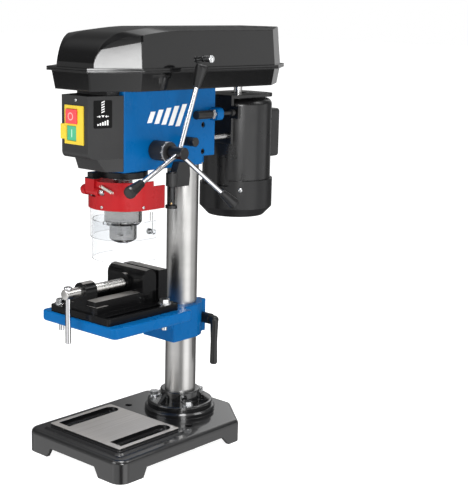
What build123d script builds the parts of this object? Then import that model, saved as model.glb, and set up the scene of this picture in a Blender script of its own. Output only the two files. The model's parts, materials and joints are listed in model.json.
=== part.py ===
from build123d import *
import os
from math import acos, atan2, cos, degrees, hypot, pi, radians, sin, sqrt, tan

# Bench drill press. +Z up, the operator stands at -Y, the feed levers are at +X. Millimetres.
# Pieces are drawn about the centre of the base, on the surface it stands on. They are then
# moved so that the origin is midway between the two bench bolt holes, on that surface.

RUN = 0.05  # radial clearance of a running fit
GAP = 0.3  # clearance between pieces that move past each other

# Base
BASE_W, BASE_D, BASE_TOP, PAD_TOP = 196, 290, 33, 40
BASE_WALL = 6
PAD_HALF, PAD_FRONT, PAD_BACK = 72.5, -123, -6
BENCH_HOLE_X, BENCH_HOLE_Y, BENCH_HOLE_R = 63.4, 23.3, 5.3

# Column
COLUMN_R, COLUMN_Y, COLUMN_TOP = 23, 70, 505
FLANGE_R, FLANGE_BOTTOM, FLANGE_TOP, COLLAR_TOP = 49, 41, 50, 66
FLANGE_BOLT_CIRCLE_R = 40

# Table and vice
TABLE_HALF, TABLE_FRONT, TABLE_BACK = 76, -134.7, 17
TABLE_BOTTOM, TABLE_TOP = 195, 210.4
CLAMP_BOTTOM, CLAMP_TOP, CLAMP_HALF = 152, 201, 32
STUD_Y, STUD_Z = 99, 174
VICE_HALF, VICE_FRONT, VICE_BACK, VICE_PLATE = 60, -131, 3, 10
VICE_SCREW_Z, JAW_HALF = 248, 36
VICE_SCREW_R, VICE_TIP_R, VICE_HEAD_R = 6.8, 5.5, 7.2
VICE_HANDLE_R, VICE_HANDLE_Y = 4, -149.5

# Head
HEAD_HALF, HEAD_FRONT, HEAD_BACK = 38.5, -84.5, 96.5
HEAD_BOTTOM, HEAD_TOP, HEAD_WALL = 410, 519.7, 5.5
SWITCH_HALF, SWITCH_FRONT, SWITCH_TOP = 26, -136, 513
NOSE_R, NOSE_BOTTOM = 26, 398

# Spindle line
SPINDLE_Y, SPINDLE_R, SPINDLE_TOP = -49, 8.5, 590
QUILL_R, QUILL_BOTTOM, QUILL_TOP = 19, 396, 504
CHUCK_R, CHUCK_NOSE, CHUCK_TOP = 19, 307.5, 370
SLEEVE_R, SLEEVE_BOTTOM, SLEEVE_TOP = 26.3, 332.4, 354
JAW_R, JAW_LEAN = 3.4, 12

# Feed: a pinion on the feed shaft meshes with a rack on the back of the quill
MODULE, PINION_TEETH, ADDENDUM, DEDENDUM, BACKLASH = 1.25, 13, 0.85, 1.15, 0.24
PRESSURE_ANGLE = 20
PITCH_R = MODULE * PINION_TEETH / 2
RACK_PITCH_Y = SPINDLE_Y + 15
FEED_Y, FEED_Z = RACK_PITCH_Y + PITCH_R, 437
FEED_R, HUB_R, HUB_START, HUB_END = 6.8, 8.4, 68.5, 95
ROD_R, ROD_TILT, ROD_PHASE, ROD_END = 3.3, 10, 80, 118
GRIP_START, GRIP_END = 91, 122

# Drive
MOTOR_Y, MOTOR_R, MOTOR_BOTTOM, MOTOR_TOP = 187.5, 52, 352, 498
FAN_COVER_R, FAN_COVER_BOTTOM, FAN_COVER_RIM = 55.5, 321, 369
SHAFT_R = 6.5
PULLEY_STEPS, PULLEY_BOTTOM, STEP_H = (47, 41.5, 36, 30.5, 25), 530, 11
SLIDE_ROD_X, SLIDE_ROD_R, SLIDE_ROD_Z = 31.5, 4.5, 446
TENSION_X, TENSION_Z = 46, 481
LOCK_Y = 30

# Belt cover: half outline of the body at its widest, front to back
COVER_HALF, COVER_NOSE_HALF = 75, 37
COVER_FRONT, COVER_NOSE_END, COVER_TAIL_START, COVER_BACK = -145, -86, 183, 242
TRAY_BOTTOM, RIM_Z, RIM_T, COVER_SHOULDER, COVER_TOP = 520, 547, 2.5, 593, 604
COVER_WALL = 2.5
LID_SETBACK, LID_FRONT, LID_TAIL_R = 8.5, -136.3, 9
LID_CROWN_X, LID_CROWN_ANGLE = 36, 6.5
HINGE_X, HINGE_Z, HINGE_KNUCKLE_R, HINGE_PIN_R = -84, 547.2, 3.6, 1.5

# Guard: a U-shaped frame round the chuck, open to the back
GUARD_R, GUARD_T = 48, 2.5
GUARD_BOTTOM, GUARD_TOP, GUARD_LEG_TOP, GUARD_LEG_END = 357, 396, 389, -15.5
GUARD_HINGE_Y, GUARD_HINGE_Z, GUARD_HINGE_R = -93.5, 382, 7
GUARD_PIN_R = 2.5
SHIELD_T, SHIELD_END = 1.8, -27
WING_Y, WING_Z = -38, 326

# Marking lights, one on each side of the head
LASER_X, LASER_Y, LASER_R, LASER_BOTTOM, LASER_TOP = 46.5, -1, 5.7, 354, 406


def box(x0, x1, y0, y1, z0, z1):
    """A block between two corners."""
    return Pos((x0 + x1) / 2, (y0 + y1) / 2, (z0 + z1) / 2) * Box(x1 - x0, y1 - y0, z1 - z0)


def zcyl(r, z0, z1, x=0, y=0):
    """A cylinder along Z."""
    return Pos(x, y, (z0 + z1) / 2) * Cylinder(r, z1 - z0)


def xcyl(r, x0, x1, y, z):
    """A cylinder along X."""
    return Pos((x0 + x1) / 2, y, z) * Rot(0, 90, 0) * Cylinder(r, x1 - x0)


def ycyl(r, y0, y1, x, z):
    """A cylinder along Y."""
    return Pos(x, (y0 + y1) / 2, z) * Rot(90, 0, 0) * Cylinder(r, y1 - y0)


def prism(points, z0, z1):
    """A polygon in plan, extruded from z0 to z1."""
    return extrude(Pos(0, 0, z0) * make_face(Polyline(*points, close=True)), z1 - z0)


def side_prism(points, x0, x1):
    """A polygon of (y, z) points, extruded along X."""
    face = make_face(Polyline(*[(x0, y, z) for y, z in points], close=True))
    return extrude(face, x1 - x0, dir=(1, 0, 0))


def turned(profile, x=0, y=0):
    """A solid of revolution about a vertical axis from (radius, z) points."""
    face = make_face(Polyline(*[(r, 0, z) for r, z in profile], close=True))
    return Pos(x, y, 0) * revolve(face, Axis.Z)


def hex_head(across, z0, z1, x, y):
    """A hexagon bolt head, across is the width over flats."""
    return Pos(x, y, z0) * extrude(RegularPolygon(across / 2, 6, major_radius=False), z1 - z0)


def mirrored(shape):
    """The shape and its twin on the other side of the YZ plane."""
    return shape + mirror(shape, about=Plane.YZ)


def group(pieces):
    """Separate solids kept together as one node."""
    return Compound([piece.solid() for piece in pieces])


def cover_outline(inset, setback=0):
    """The eight corners of the belt cover in plan, drawn in by inset, and at the front by setback."""
    half, nose = COVER_HALF - inset, COVER_NOSE_HALF - 0.55 * inset
    y0, y1 = COVER_FRONT + inset + setback, COVER_NOSE_END + 0.3 * inset
    y2, y3 = COVER_TAIL_START - 0.3 * inset, COVER_BACK - inset
    right = [(nose, y0), (half, y1), (half, y2), (nose, y3)]
    return right + [(-x, y) for x, y in reversed(right)]


def cover_loft(z0, inset0, z1, inset1, setback=0):
    """A cover wall that leans in from inset0 at z0 to inset1 at z1."""
    low = Pos(0, 0, z0) * make_face(Polyline(*cover_outline(inset0, setback), close=True))
    high = Pos(0, 0, z1) * make_face(Polyline(*cover_outline(inset1, setback), close=True))
    return loft([low, high], ruled=True)


def u_wall(outer, thickness, y_end, z0, z1):
    """A U in plan round the spindle: a half ring in front and straight legs to y_end."""
    inner = outer - thickness
    ring = zcyl(outer, z0, z1, y=SPINDLE_Y) - zcyl(inner, z0 - 1, z1 + 1, y=SPINDLE_Y)
    front = ring & box(-outer, outer, SPINDLE_Y - outer, SPINDLE_Y, z0, z1)
    leg = box(inner, outer, SPINDLE_Y, y_end, z0, z1)
    return front + mirrored(leg)


# Stand ------------------------------------------------------------------


def base_casting():
    half, front, back = BASE_W / 2, -BASE_D / 2, BASE_D / 2
    corner_y, corner_x = 94, 36
    plan = [(-half, front), (half, front), (half, corner_y), (corner_x, back)]
    plan += [(-corner_x, back), (-half, corner_y)]
    body = prism(plan, 0, BASE_TOP)
    upright = body.edges().filter_by(Axis.Z)
    body = fillet(upright.filter_by_position(Axis.Y, front - 1, front + 1), 17)
    upright = body.edges().filter_by(Axis.Z)
    body = fillet(upright.filter_by_position(Axis.Y, corner_y - 1, back + 1), 9)
    body = fillet(body.faces().sort_by(Axis.Z)[-1].edges(), 6)
    inner_x, inner_y = half - BASE_WALL, front + BASE_WALL
    hollow = [(-inner_x, inner_y), (inner_x, inner_y), (inner_x, corner_y - 3)]
    hollow += [(corner_x - 3, back - BASE_WALL), (-corner_x + 3, back - BASE_WALL)]
    hollow += [(-inner_x, corner_y - 3)]
    cavity = prism(hollow, -1, BASE_TOP - 6.5)
    body -= fillet(cavity.edges().filter_by(Axis.Z), 12)
    arch = 14
    body -= side_prism([(-102, -1), (-95, arch), (60, arch), (74, -1)], -half - 1, half + 1)
    front_arch = make_face(
        Polyline((-54.5, front - 1, -1), (-46, front - 1, arch), (46, front - 1, arch),
                 (54.5, front - 1, -1), close=True)
    )
    body -= extrude(front_arch, BASE_WALL + 5, dir=(0, 1, 0))
    body -= box(-20, 20, back - BASE_WALL - 4, back + 1, -1, arch)
    plinth = box(-PAD_HALF - 8, PAD_HALF + 8, PAD_FRONT - 8, PAD_BACK + 8, BASE_TOP - 3, BASE_TOP + 3)
    plinth = fillet(plinth.edges().filter_by(Axis.Z), 9)
    plinth = chamfer(plinth.faces().sort_by(Axis.Z)[-1].edges(), 2.6)
    pad = box(-PAD_HALF, PAD_HALF, PAD_FRONT, PAD_BACK, BASE_TOP, PAD_TOP)
    pad = fillet(pad.edges().filter_by(Axis.Z), 3)
    seat = zcyl(FLANGE_R + 4, BASE_TOP - 1, FLANGE_BOTTOM, y=COLUMN_Y)
    seat = chamfer(seat.faces().sort_by(Axis.Z)[-1].edges(), 2.5)
    body += plinth + pad + seat
    body += zcyl(FLANGE_R - 2, 8, BASE_TOP - 5, y=COLUMN_Y)
    for side in (-1, 1):
        body += box(side * 54 - 16, side * 54 + 16, -118, -6, 10, BASE_TOP - 5)
        body += zcyl(11, 0, BASE_TOP - 5, x=side * BENCH_HOLE_X, y=BENCH_HOLE_Y)
        body -= zcyl(BENCH_HOLE_R, -1, BASE_TOP + 1, x=side * BENCH_HOLE_X, y=BENCH_HOLE_Y)
        body -= work_slot(side * 54, 23, PAD_TOP - 7, PAD_TOP + 1)
        body -= work_slot(side * 54, 14, -1, PAD_TOP)
    for angle in (90, 210, 330):
        x, y = flange_point(FLANGE_BOLT_CIRCLE_R, angle)
        body -= zcyl(4.05, 18, FLANGE_BOTTOM + 1, x=x, y=y)
    return body


def work_slot(x, width, z0, z1):
    """A slot in the pad, square in front and round at the back."""
    y0, y1 = -113, -11
    r = width / 2
    return box(x - r, x + r, y0 + 11.5 - r, y1 - 11.5, z0, z1) + zcyl(r, z0, z1, x=x, y=y1 - 11.5)


def flange_point(radius, angle):
    return radius * cos(radians(angle)), COLUMN_Y + radius * sin(radians(angle))


def column_flange():
    disc = zcyl(FLANGE_R, FLANGE_BOTTOM, FLANGE_TOP, y=COLUMN_Y)
    disc = fillet(disc.faces().sort_by(Axis.Z)[-1].edges(), 2.5)
    collar = zcyl(30, FLANGE_TOP - 1, COLLAR_TOP, y=COLUMN_Y)
    collar = fillet(collar.faces().sort_by(Axis.Z)[-1].edges(), 2)
    body = disc + collar
    rib = side_prism(
        [(28, FLANGE_TOP - 1), (FLANGE_R - 3, FLANGE_TOP - 1), (FLANGE_R - 4, FLANGE_TOP + 1),
         (31, COLLAR_TOP - 4), (28, COLLAR_TOP - 4)], -2.5, 2.5
    )
    for angle in (30, 150, 270):
        body += Pos(0, COLUMN_Y, 0) * Rot(0, 0, angle - 90) * rib
    body -= zcyl(COLUMN_R + RUN, FLANGE_BOTTOM - 1, COLLAR_TOP + 1, y=COLUMN_Y)
    body -= ycyl(4.05, COLUMN_Y + COLUMN_R - 1, COLUMN_Y + 34, 0, COLLAR_TOP - 7)
    for angle in (90, 210, 330):
        x, y = flange_point(FLANGE_BOLT_CIRCLE_R, angle)
        body -= zcyl(4.6, FLANGE_BOTTOM - 1, FLANGE_TOP + 1, x=x, y=y)
    return body


def flange_bolts():
    bolts = []
    for angle in (90, 210, 330):
        x, y = flange_point(FLANGE_BOLT_CIRCLE_R, angle)
        bolt = zcyl(8.4, FLANGE_TOP, FLANGE_TOP + 1.6, x=x, y=y)
        bolt += hex_head(13, FLANGE_TOP + 1.6, FLANGE_TOP + 7, x, y)
        bolt += zcyl(4, FLANGE_BOTTOM - 18, FLANGE_TOP, x=x, y=y)
        bolts.append(bolt)
    return group(bolts)


def socket_screw(length):
    """A hex socket set screw along +Y from the origin, its socket at the far end."""
    body = ycyl(4, 0, length, 0, 0)
    return body - extrude(Plane.XZ.offset(-length) * RegularPolygon(2, 6, major_radius=False), 3)


def set_screws():
    """The screw in the flange collar and the two that hold the head on the column."""
    screws = [Pos(0, COLUMN_Y + COLUMN_R + GAP, COLLAR_TOP - 7) * socket_screw(7)]
    for z in (466, 428):
        screws.append(Pos(COLUMN_R + GAP, COLUMN_Y, z) * Rot(0, 0, -90) * socket_screw(14))
    return group(screws)


def column():
    tube = zcyl(COLUMN_R, FLANGE_BOTTOM + GAP, COLUMN_TOP, y=COLUMN_Y)
    return tube - zcyl(COLUMN_R - 3, FLANGE_BOTTOM, COLUMN_TOP + 1, y=COLUMN_Y)


# Table ------------------------------------------------------------------


def table_casting():
    plate = box(-TABLE_HALF, TABLE_HALF, TABLE_FRONT, TABLE_BACK, TABLE_BOTTOM, TABLE_TOP)
    plate = fillet(plate.edges().filter_by(Axis.Z), 9)
    plate = fillet(plate.faces().sort_by(Axis.Z)[-1].edges(), 2)
    plate = fillet(plate.faces().sort_by(Axis.Z)[0].edges(), 4)
    hollow = box(-TABLE_HALF + 7, TABLE_HALF - 7, TABLE_FRONT + 7, TABLE_BACK - 5, 0, TABLE_TOP - 7)
    plate -= hollow
    for x in (-30, 0, 30):
        plate += box(x - 3, x + 3, TABLE_FRONT + 3, TABLE_BACK - 3, TABLE_BOTTOM + 3, TABLE_TOP - 6)
    block = box(-CLAMP_HALF, CLAMP_HALF, 22, 74, CLAMP_BOTTOM, CLAMP_TOP)
    block = fillet(block.edges().filter_by(Axis.Z), 2.5)
    block += zcyl(CLAMP_HALF - 1.5, CLAMP_BOTTOM, CLAMP_TOP, y=COLUMN_Y)
    block += side_prism([(10, TABLE_BOTTOM), (24, CLAMP_BOTTOM + 14), (24, CLAMP_TOP), (10, CLAMP_TOP)],
                        -CLAMP_HALF + 2, CLAMP_HALF - 2)
    block += box(-CLAMP_HALF, CLAMP_HALF, 10, 30, TABLE_BOTTOM, CLAMP_TOP)
    block += box(-16, 16, COLUMN_Y + 20, STUD_Y + 7, CLAMP_BOTTOM, CLAMP_TOP)
    block -= box(-2, 2, COLUMN_Y, STUD_Y + 8, CLAMP_BOTTOM - 1, CLAMP_TOP + 1)
    block -= zcyl(COLUMN_R + RUN, CLAMP_BOTTOM - 1, CLAMP_TOP + 1, y=COLUMN_Y)
    block -= xcyl(4.1, -20, 20, STUD_Y, STUD_Z)
    block -= mirrored(xcyl(9, 16, CLAMP_HALF + 1, STUD_Y, STUD_Z))
    body = plate + block
    for x, y in vice_bolt_places():
        body -= zcyl(4.2, TABLE_BOTTOM - 1, TABLE_TOP + 1, x=x, y=y)
    centre_hole = zcyl(9, TABLE_BOTTOM - 1, TABLE_TOP + 1, y=SPINDLE_Y)
    return body - centre_hole


def table_clamp_stud():
    stud = xcyl(4, -16, 35, STUD_Y, STUD_Z)
    head = Pos(-21.5, STUD_Y, STUD_Z) * Rot(0, 90, 0) * extrude(
        RegularPolygon(6.5, 6, major_radius=False), 5.5)
    return stud + head


def table_clamp_lever():
    bottom, elbow_x = 106, 41
    hub = xcyl(8, 16 + GAP, 34, STUD_Y, STUD_Z)
    hub = chamfer(hub.faces().sort_by(Axis.X)[0].edges(), 1)
    neck = xcyl(6.5, 33, elbow_x, STUD_Y, STUD_Z)
    elbow = Pos(elbow_x, STUD_Y, STUD_Z) * Sphere(6.5)
    grip = turned([(0, STUD_Z), (6.2, STUD_Z), (5, 140), (5.6, bottom + 2), (4.4, bottom), (0, bottom)],
                  x=elbow_x, y=STUD_Y)
    body = hub + neck + elbow + grip
    return body - xcyl(4 + GAP, 10, 35 + GAP, STUD_Y, STUD_Z)


def vice_bolt_places():
    return [(-50, -119), (50, -16)]


def vice_base():
    z0, z1 = TABLE_TOP, TABLE_TOP + VICE_PLATE
    plate = box(-VICE_HALF, VICE_HALF, VICE_FRONT, VICE_BACK, z0, z1)
    plate = fillet(plate.edges().filter_by(Axis.Z), 4)
    bed = box(-30, 30, VICE_FRONT + 4, VICE_BACK, z1 - 1, 238)
    bed -= box(-12, 12, VICE_FRONT + 16, -18, 226, 239)
    rib = box(-34, 34, VICE_FRONT + 3, VICE_FRONT + 24, z1 - 1, 231)
    boss = ycyl(12.5, VICE_FRONT + 3, VICE_FRONT + 23, 0, VICE_SCREW_Z)
    post = box(-12.5, 12.5, VICE_FRONT + 3, VICE_FRONT + 23, 230, VICE_SCREW_Z)
    jaw = box(-JAW_HALF, JAW_HALF, -14, VICE_BACK, z1 - 1, 266)
    jaw = chamfer(jaw.edges().filter_by(Axis.X).sort_by(Axis.Z)[-2:], 1.2)
    body = plate + bed + rib + boss + post + jaw
    for side in (-1, 1):
        body -= box(side * 50 - 4.3, side * 50 + 4.3, VICE_FRONT + 9 - 4, -8, z0 - 1, z1 + 1)
    body -= ycyl(VICE_SCREW_R + RUN, VICE_FRONT, VICE_FRONT + 30, 0, VICE_SCREW_Z)
    body -= box(-20, 20, VICE_FRONT + 30, -20, z0 - 1, z0 + 6)
    return body


def vice_jaw():
    """The sliding jaw, domed on top, with the round nut that holds the end of the screw."""
    dome_r, dome_y, dome_z = 13, -32, 257
    jaw = box(-JAW_HALF, JAW_HALF, dome_y - dome_r, dome_y + dome_r, 238 + GAP, dome_z)
    jaw += xcyl(dome_r, -JAW_HALF, JAW_HALF, dome_y, dome_z)
    jaw += ycyl(12, -50, -36, 0, VICE_SCREW_Z + 2)
    jaw += box(-12 + GAP, 12 - GAP, -44, -19, 228, 240)
    return jaw - ycyl(VICE_TIP_R + GAP, -51, -30, 0, VICE_SCREW_Z)


def vice_screw():
    shaft = ycyl(VICE_SCREW_R, VICE_FRONT - 6, -50 - GAP, 0, VICE_SCREW_Z)
    tip = ycyl(VICE_TIP_R, -52, -31, 0, VICE_SCREW_Z)
    head = ycyl(VICE_HEAD_R, VICE_HANDLE_Y - 7, VICE_FRONT - 5, 0, VICE_SCREW_Z)
    head = fillet(head.edges(), 1.5)
    body = shaft + tip + head
    reach = VICE_HEAD_R + 3
    return body - zcyl(VICE_HANDLE_R + GAP, VICE_SCREW_Z - reach, VICE_SCREW_Z + reach, y=VICE_HANDLE_Y)


def vice_handle():
    """A plain bar that slides in the screw's eye and hangs by its rounded head."""
    top = VICE_SCREW_Z + VICE_HEAD_R + GAP
    bar = zcyl(VICE_HANDLE_R, 179, top + 1, y=VICE_HANDLE_Y)
    bar = fillet(bar.faces().sort_by(Axis.Z)[0].edges(), 1.5)
    cap = zcyl(5.8, top, top + 2.6, y=VICE_HANDLE_Y)
    return bar + fillet(cap.faces().sort_by(Axis.Z)[-1].edges(), 1.6)


def vice_bolts():
    bolts = []
    top = TABLE_TOP + VICE_PLATE
    for x, y in vice_bolt_places():
        bolt = zcyl(9.5, top, top + 1.8, x=x, y=y)
        bolt += hex_head(13, top + 1.8, top + 7.3, x, y)
        bolt += zcyl(4, TABLE_BOTTOM - 12, top, x=x, y=y)
        bolt += hex_head(13, TABLE_TOP - 14, TABLE_TOP - 7, x, y)
        bolts.append(bolt)
    return group(bolts)


# Head -------------------------------------------------------------------


def head_housing():
    outer = box(-HEAD_HALF, HEAD_HALF, HEAD_FRONT, HEAD_BACK, HEAD_BOTTOM, HEAD_TOP)
    outer -= box(-50, 50, 71, 100, HEAD_BOTTOM - 1, 421.6)
    outer = fillet(outer.edges().filter_by(Axis.Z), 3.5)
    inner = HEAD_HALF - HEAD_WALL
    outer -= box(-inner, inner, HEAD_FRONT + HEAD_WALL, 65, HEAD_BOTTOM - 1, HEAD_TOP - 8)
    outer -= box(-inner, inner, 60, HEAD_BACK - HEAD_WALL, 427, HEAD_TOP - 8)
    quill_boss = zcyl(NOSE_R, NOSE_BOTTOM, HEAD_TOP - 7, y=SPINDLE_Y)
    column_boss = zcyl(30, HEAD_BOTTOM, HEAD_TOP - 7, y=COLUMN_Y)
    column_boss &= box(-26.6, 26.6, 30, HEAD_BACK - 1, HEAD_BOTTOM, HEAD_TOP)
    body = outer + quill_boss + column_boss
    for side in (-1, 1):
        body += xcyl(12, min(side * 14, side * 36), max(side * 14, side * 36), FEED_Y, FEED_Z)
        guide = box(26.5, 34, 22, 38, SLIDE_ROD_Z - 8, SLIDE_ROD_Z + 8)
        body += guide if side > 0 else mirror(guide, about=Plane.YZ)
        body -= ycyl(SLIDE_ROD_R + RUN, 4, 100, side * SLIDE_ROD_X, SLIDE_ROD_Z)
    for z in (466, 428):
        body += xcyl(7, 24, 37, COLUMN_Y, z)
        body -= xcyl(4.05, 20, 45, COLUMN_Y, z)
    lug = box(HEAD_HALF - 1, TENSION_X + 8, 84, HEAD_BACK, TENSION_Z - 9, TENSION_Z + 9)
    body += fillet(lug.edges().filter_by(Axis.Y).sort_by(Axis.X)[-2:], 7)
    body -= ycyl(3 + GAP, 80, 100, TENSION_X, TENSION_Z)
    body -= zcyl(QUILL_R + RUN, NOSE_BOTTOM - 1, HEAD_TOP - 12, y=SPINDLE_Y)
    body -= zcyl(SPINDLE_R + 5, HEAD_TOP - 13, HEAD_TOP + 1, y=SPINDLE_Y)
    body -= zcyl(17, HEAD_TOP - 8, HEAD_TOP + 1, y=SPINDLE_Y)
    body -= zcyl(COLUMN_R + RUN, HEAD_BOTTOM - 1, COLUMN_TOP + GAP, y=COLUMN_Y)
    body -= xcyl(FEED_R + RUN, -50, 50, FEED_Y, FEED_Z)
    body -= xcyl(PITCH_R + ADDENDUM + 0.6, -13, 13, FEED_Y, FEED_Z)
    body -= xcyl(3.05, 34, 40, LOCK_Y, SLIDE_ROD_Z)
    return body


def switch_box():
    """The black front panel that carries the switch, wider at the casting."""
    half, back = SWITCH_HALF, HEAD_FRONT
    plan = [(-half, SWITCH_FRONT), (half, SWITCH_FRONT), (HEAD_HALF - 0.2, back), (-HEAD_HALF + 0.2, back)]
    upper = prism(plan, 430, SWITCH_TOP)
    front_low = upper.edges().filter_by(Axis.X).sort_by(Axis.Z)[0:2].sort_by(Axis.Y)[0:1]
    upper = fillet(front_low, 9)
    lower_plan = [(-18, -125), (18, -125), (HEAD_HALF - 0.2, back), (-HEAD_HALF + 0.2, back)]
    lower = prism(lower_plan, 412, 432)
    lower -= side_prism([(-126, 411), (-106, 411), (-120, 433), (-126, 433)], -50, 50)
    neck = box(-30, 30, -106, back, SWITCH_TOP - 1, HEAD_TOP)
    inner_plan = [(-half + 3, SWITCH_FRONT + 3), (half - 3, SWITCH_FRONT + 3), (32, back), (-32, back)]
    body = upper + lower + neck
    body -= prism(inner_plan, 442, SWITCH_TOP - 4)
    body -= box(-16.4, 16.4, SWITCH_FRONT - 1, SWITCH_FRONT + 5, 450.5, 498)
    return body


def switch_plate():
    front = SWITCH_FRONT - 2
    plate = box(-18.2, 18.2, front, SWITCH_FRONT, 449, 500)
    plate += prism([(-18, front), (-23, front - 3), (-25, SWITCH_FRONT), (-18, SWITCH_FRONT)], 455, 475)
    case = box(-16, 16, SWITCH_FRONT, SWITCH_FRONT + 20, 451, 497.6)
    plate += case
    plate -= box(-14.2, 7.4, front - 5, SWITCH_FRONT + 12, 475.8, 495.4)
    plate -= box(-14.2, 5, front - 5, SWITCH_FRONT + 12, 453.2, 473.2)
    return plate


def push_button(x0, x1, z0, z1, proud):
    front = SWITCH_FRONT - 2 - proud
    cap = box(x0 + GAP, x1 - GAP, front, SWITCH_FRONT + 8, z0 + GAP, z1 - GAP)
    return fillet(cap.faces().sort_by(Axis.Y)[0].edges(), 0.8)


def stop_button():
    return push_button(-14.2, 7.4, 475.8, 495.4, 2.5)


def start_button():
    return push_button(-14.2, 5, 453.2, 473.2, -0.6)


def cable_gland():
    """The inlet of the mains lead, on the left side of the head."""
    nut = Pos(-HEAD_HALF, 20, 470) * Rot(0, -90, 0) * extrude(RegularPolygon(9, 6, major_radius=False), 6)
    body = nut + xcyl(7.5, -HEAD_HALF - 14, -HEAD_HALF - 5, 20, 470)
    body = chamfer(body.faces().sort_by(Axis.X)[0].edges(), 1.5)
    return body - xcyl(3.6, -HEAD_HALF - 15, -HEAD_HALF, 20, 470)


# Spindle ----------------------------------------------------------------


def quill():
    y = SPINDLE_Y
    body = zcyl(QUILL_R, QUILL_BOTTOM, QUILL_TOP, y=y)
    body = chamfer(body.faces().sort_by(Axis.Z)[0].edges(), 1)
    body -= zcyl(12.5, QUILL_BOTTOM - 1, QUILL_TOP + 1, y=y)
    body -= zcyl(16, QUILL_BOTTOM - 1, QUILL_BOTTOM + 12, y=y)
    body -= zcyl(16, QUILL_TOP - 12, QUILL_TOP + 1, y=y)
    rack_low, rack_high = FEED_Z - 9, FEED_Z + 59
    body -= box(-12, 12, RACK_PITCH_Y - DEDENDUM, y + 25, rack_low, rack_high)
    pitch = pi * MODULE
    lean = tan(radians(PRESSURE_ANGLE))
    root_half = pitch / 4 + DEDENDUM * lean - BACKLASH / 2
    tip_half = pitch / 4 - ADDENDUM * lean - BACKLASH / 2
    first = FEED_Z - 1.5 * pitch
    for k in range(16):
        z = first + k * pitch
        root_y, tip_y = RACK_PITCH_Y - DEDENDUM - 0.2, RACK_PITCH_Y + ADDENDUM
        tooth = [(root_y, z - root_half), (tip_y, z - tip_half), (tip_y, z + tip_half), (root_y, z + root_half)]
        body += side_prism(tooth, -9.5, 9.5)
    return body


def quill_bearings():
    y = SPINDLE_Y
    rings = []
    for z in (QUILL_BOTTOM + 1, QUILL_TOP - 12):
        rings.append(zcyl(16, z, z + 11, y=y) - zcyl(SPINDLE_R + RUN, z - 1, z + 12, y=y))
    return group(rings)


def spindle():
    y = SPINDLE_Y
    shaft = zcyl(SPINDLE_R, CHUCK_TOP, SPINDLE_TOP, y=y)
    shaft = chamfer(shaft.faces().sort_by(Axis.Z)[-1].edges(), 1.2)
    shoulder = turned([(0, 380), (11, 380), (13, 384), (13, 395.6), (0, 395.6)], y=y)
    taper = turned([(0, 354), (7.2, 354), (8, CHUCK_TOP), (0, CHUCK_TOP)], y=y)
    return shaft + shoulder + taper


def jaw_line(index):
    """Places a piece built along +Z on the line that one chuck jaw slides along."""
    return Pos(0, SPINDLE_Y, 0) * Rot(0, 0, 120 * index + 11) * Pos(4.6, 0, CHUCK_NOSE) * Rot(0, JAW_LEAN, 0)


def chuck_body():
    outline = [(4.2, CHUCK_NOSE), (12.5, CHUCK_NOSE), (17.8, CHUCK_NOSE + 3.2), (CHUCK_R, CHUCK_NOSE + 5)]
    outline += [(CHUCK_R, 362), (16, CHUCK_TOP), (8, CHUCK_TOP), (7.2, 354), (0, 354), (0, 349), (4.2, 349)]
    body = turned(outline, y=SPINDLE_Y)
    for index in range(3):
        body -= jaw_line(index) * Pos(0, 0, 20) * Cylinder(JAW_R + RUN, 45)
    for angle in (-49, 71, 191):
        hole = Pos(0, SPINDLE_Y, CHUCK_NOSE + 14) * Rot(0, 0, angle) * Pos(17, 0, 0) * Rot(0, 90, 0) * Cylinder(3.1, 6)
        body -= hole
    return body


def chuck_sleeve():
    """The geared ring that the chuck key turns, its bevel teeth facing down."""
    bore = CHUCK_R + GAP
    outline = [(bore, SLEEVE_BOTTOM), (22.6, SLEEVE_BOTTOM), (SLEEVE_R, SLEEVE_BOTTOM + 4), (SLEEVE_R, SLEEVE_TOP - 1)]
    outline += [(SLEEVE_R - 1, SLEEVE_TOP), (bore, SLEEVE_TOP)]
    ring = turned(outline, y=SPINDLE_Y)
    teeth = 30
    cutter = Pos(24, 0, SLEEVE_BOTTOM + 1) * Rot(0, 35, 0) * Rot(45, 0, 0) * Box(9, 1.9, 1.9)
    cuts = [Pos(0, SPINDLE_Y, 0) * Rot(0, 0, 360 * k / teeth) * cutter for k in range(teeth)]
    return ring - group(cuts)


def chuck_jaw(index):
    """One of three jaws that slide up and out in the inclined bores of the chuck."""
    jaw = Pos(4.6, 0, CHUCK_NOSE) * Rot(0, JAW_LEAN, 0) * Pos(0, 0, 13) * Cylinder(JAW_R, 32)
    tip, reach = 0.8, 30
    wedge = [(tip, 0), (tip + reach, -reach * tan(radians(60))), (tip + reach, reach * tan(radians(60)))]
    jaw &= prism(wedge, CHUCK_NOSE - 2.5, 345)
    return Pos(0, SPINDLE_Y, 0) * Rot(0, 0, 120 * index + 11) * jaw


# Feed -------------------------------------------------------------------


def involute(angle):
    return tan(angle) - angle


def pinion_outline():
    """Involute teeth, one of them pointing at the rack."""
    base_r = PITCH_R * cos(radians(PRESSURE_ANGLE))
    tip_r, root_r = PITCH_R + ADDENDUM, PITCH_R - DEDENDUM
    half = pi / (2 * PINION_TEETH) - BACKLASH / (2 * PITCH_R) + involute(radians(PRESSURE_ANGLE))
    flank = [(root_r, half)]
    for k in range(6):
        r = base_r + (tip_r - base_r) * k / 5
        flank.append((r, half - involute(acos(base_r / r))))
    points = []
    for tooth in range(PINION_TEETH):
        centre = pi + 2 * pi * tooth / PINION_TEETH
        for r, a in flank:
            points.append((r * cos(centre - a), r * sin(centre - a)))
        for r, a in reversed(flank):
            points.append((r * cos(centre + a), r * sin(centre + a)))
    return points


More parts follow.
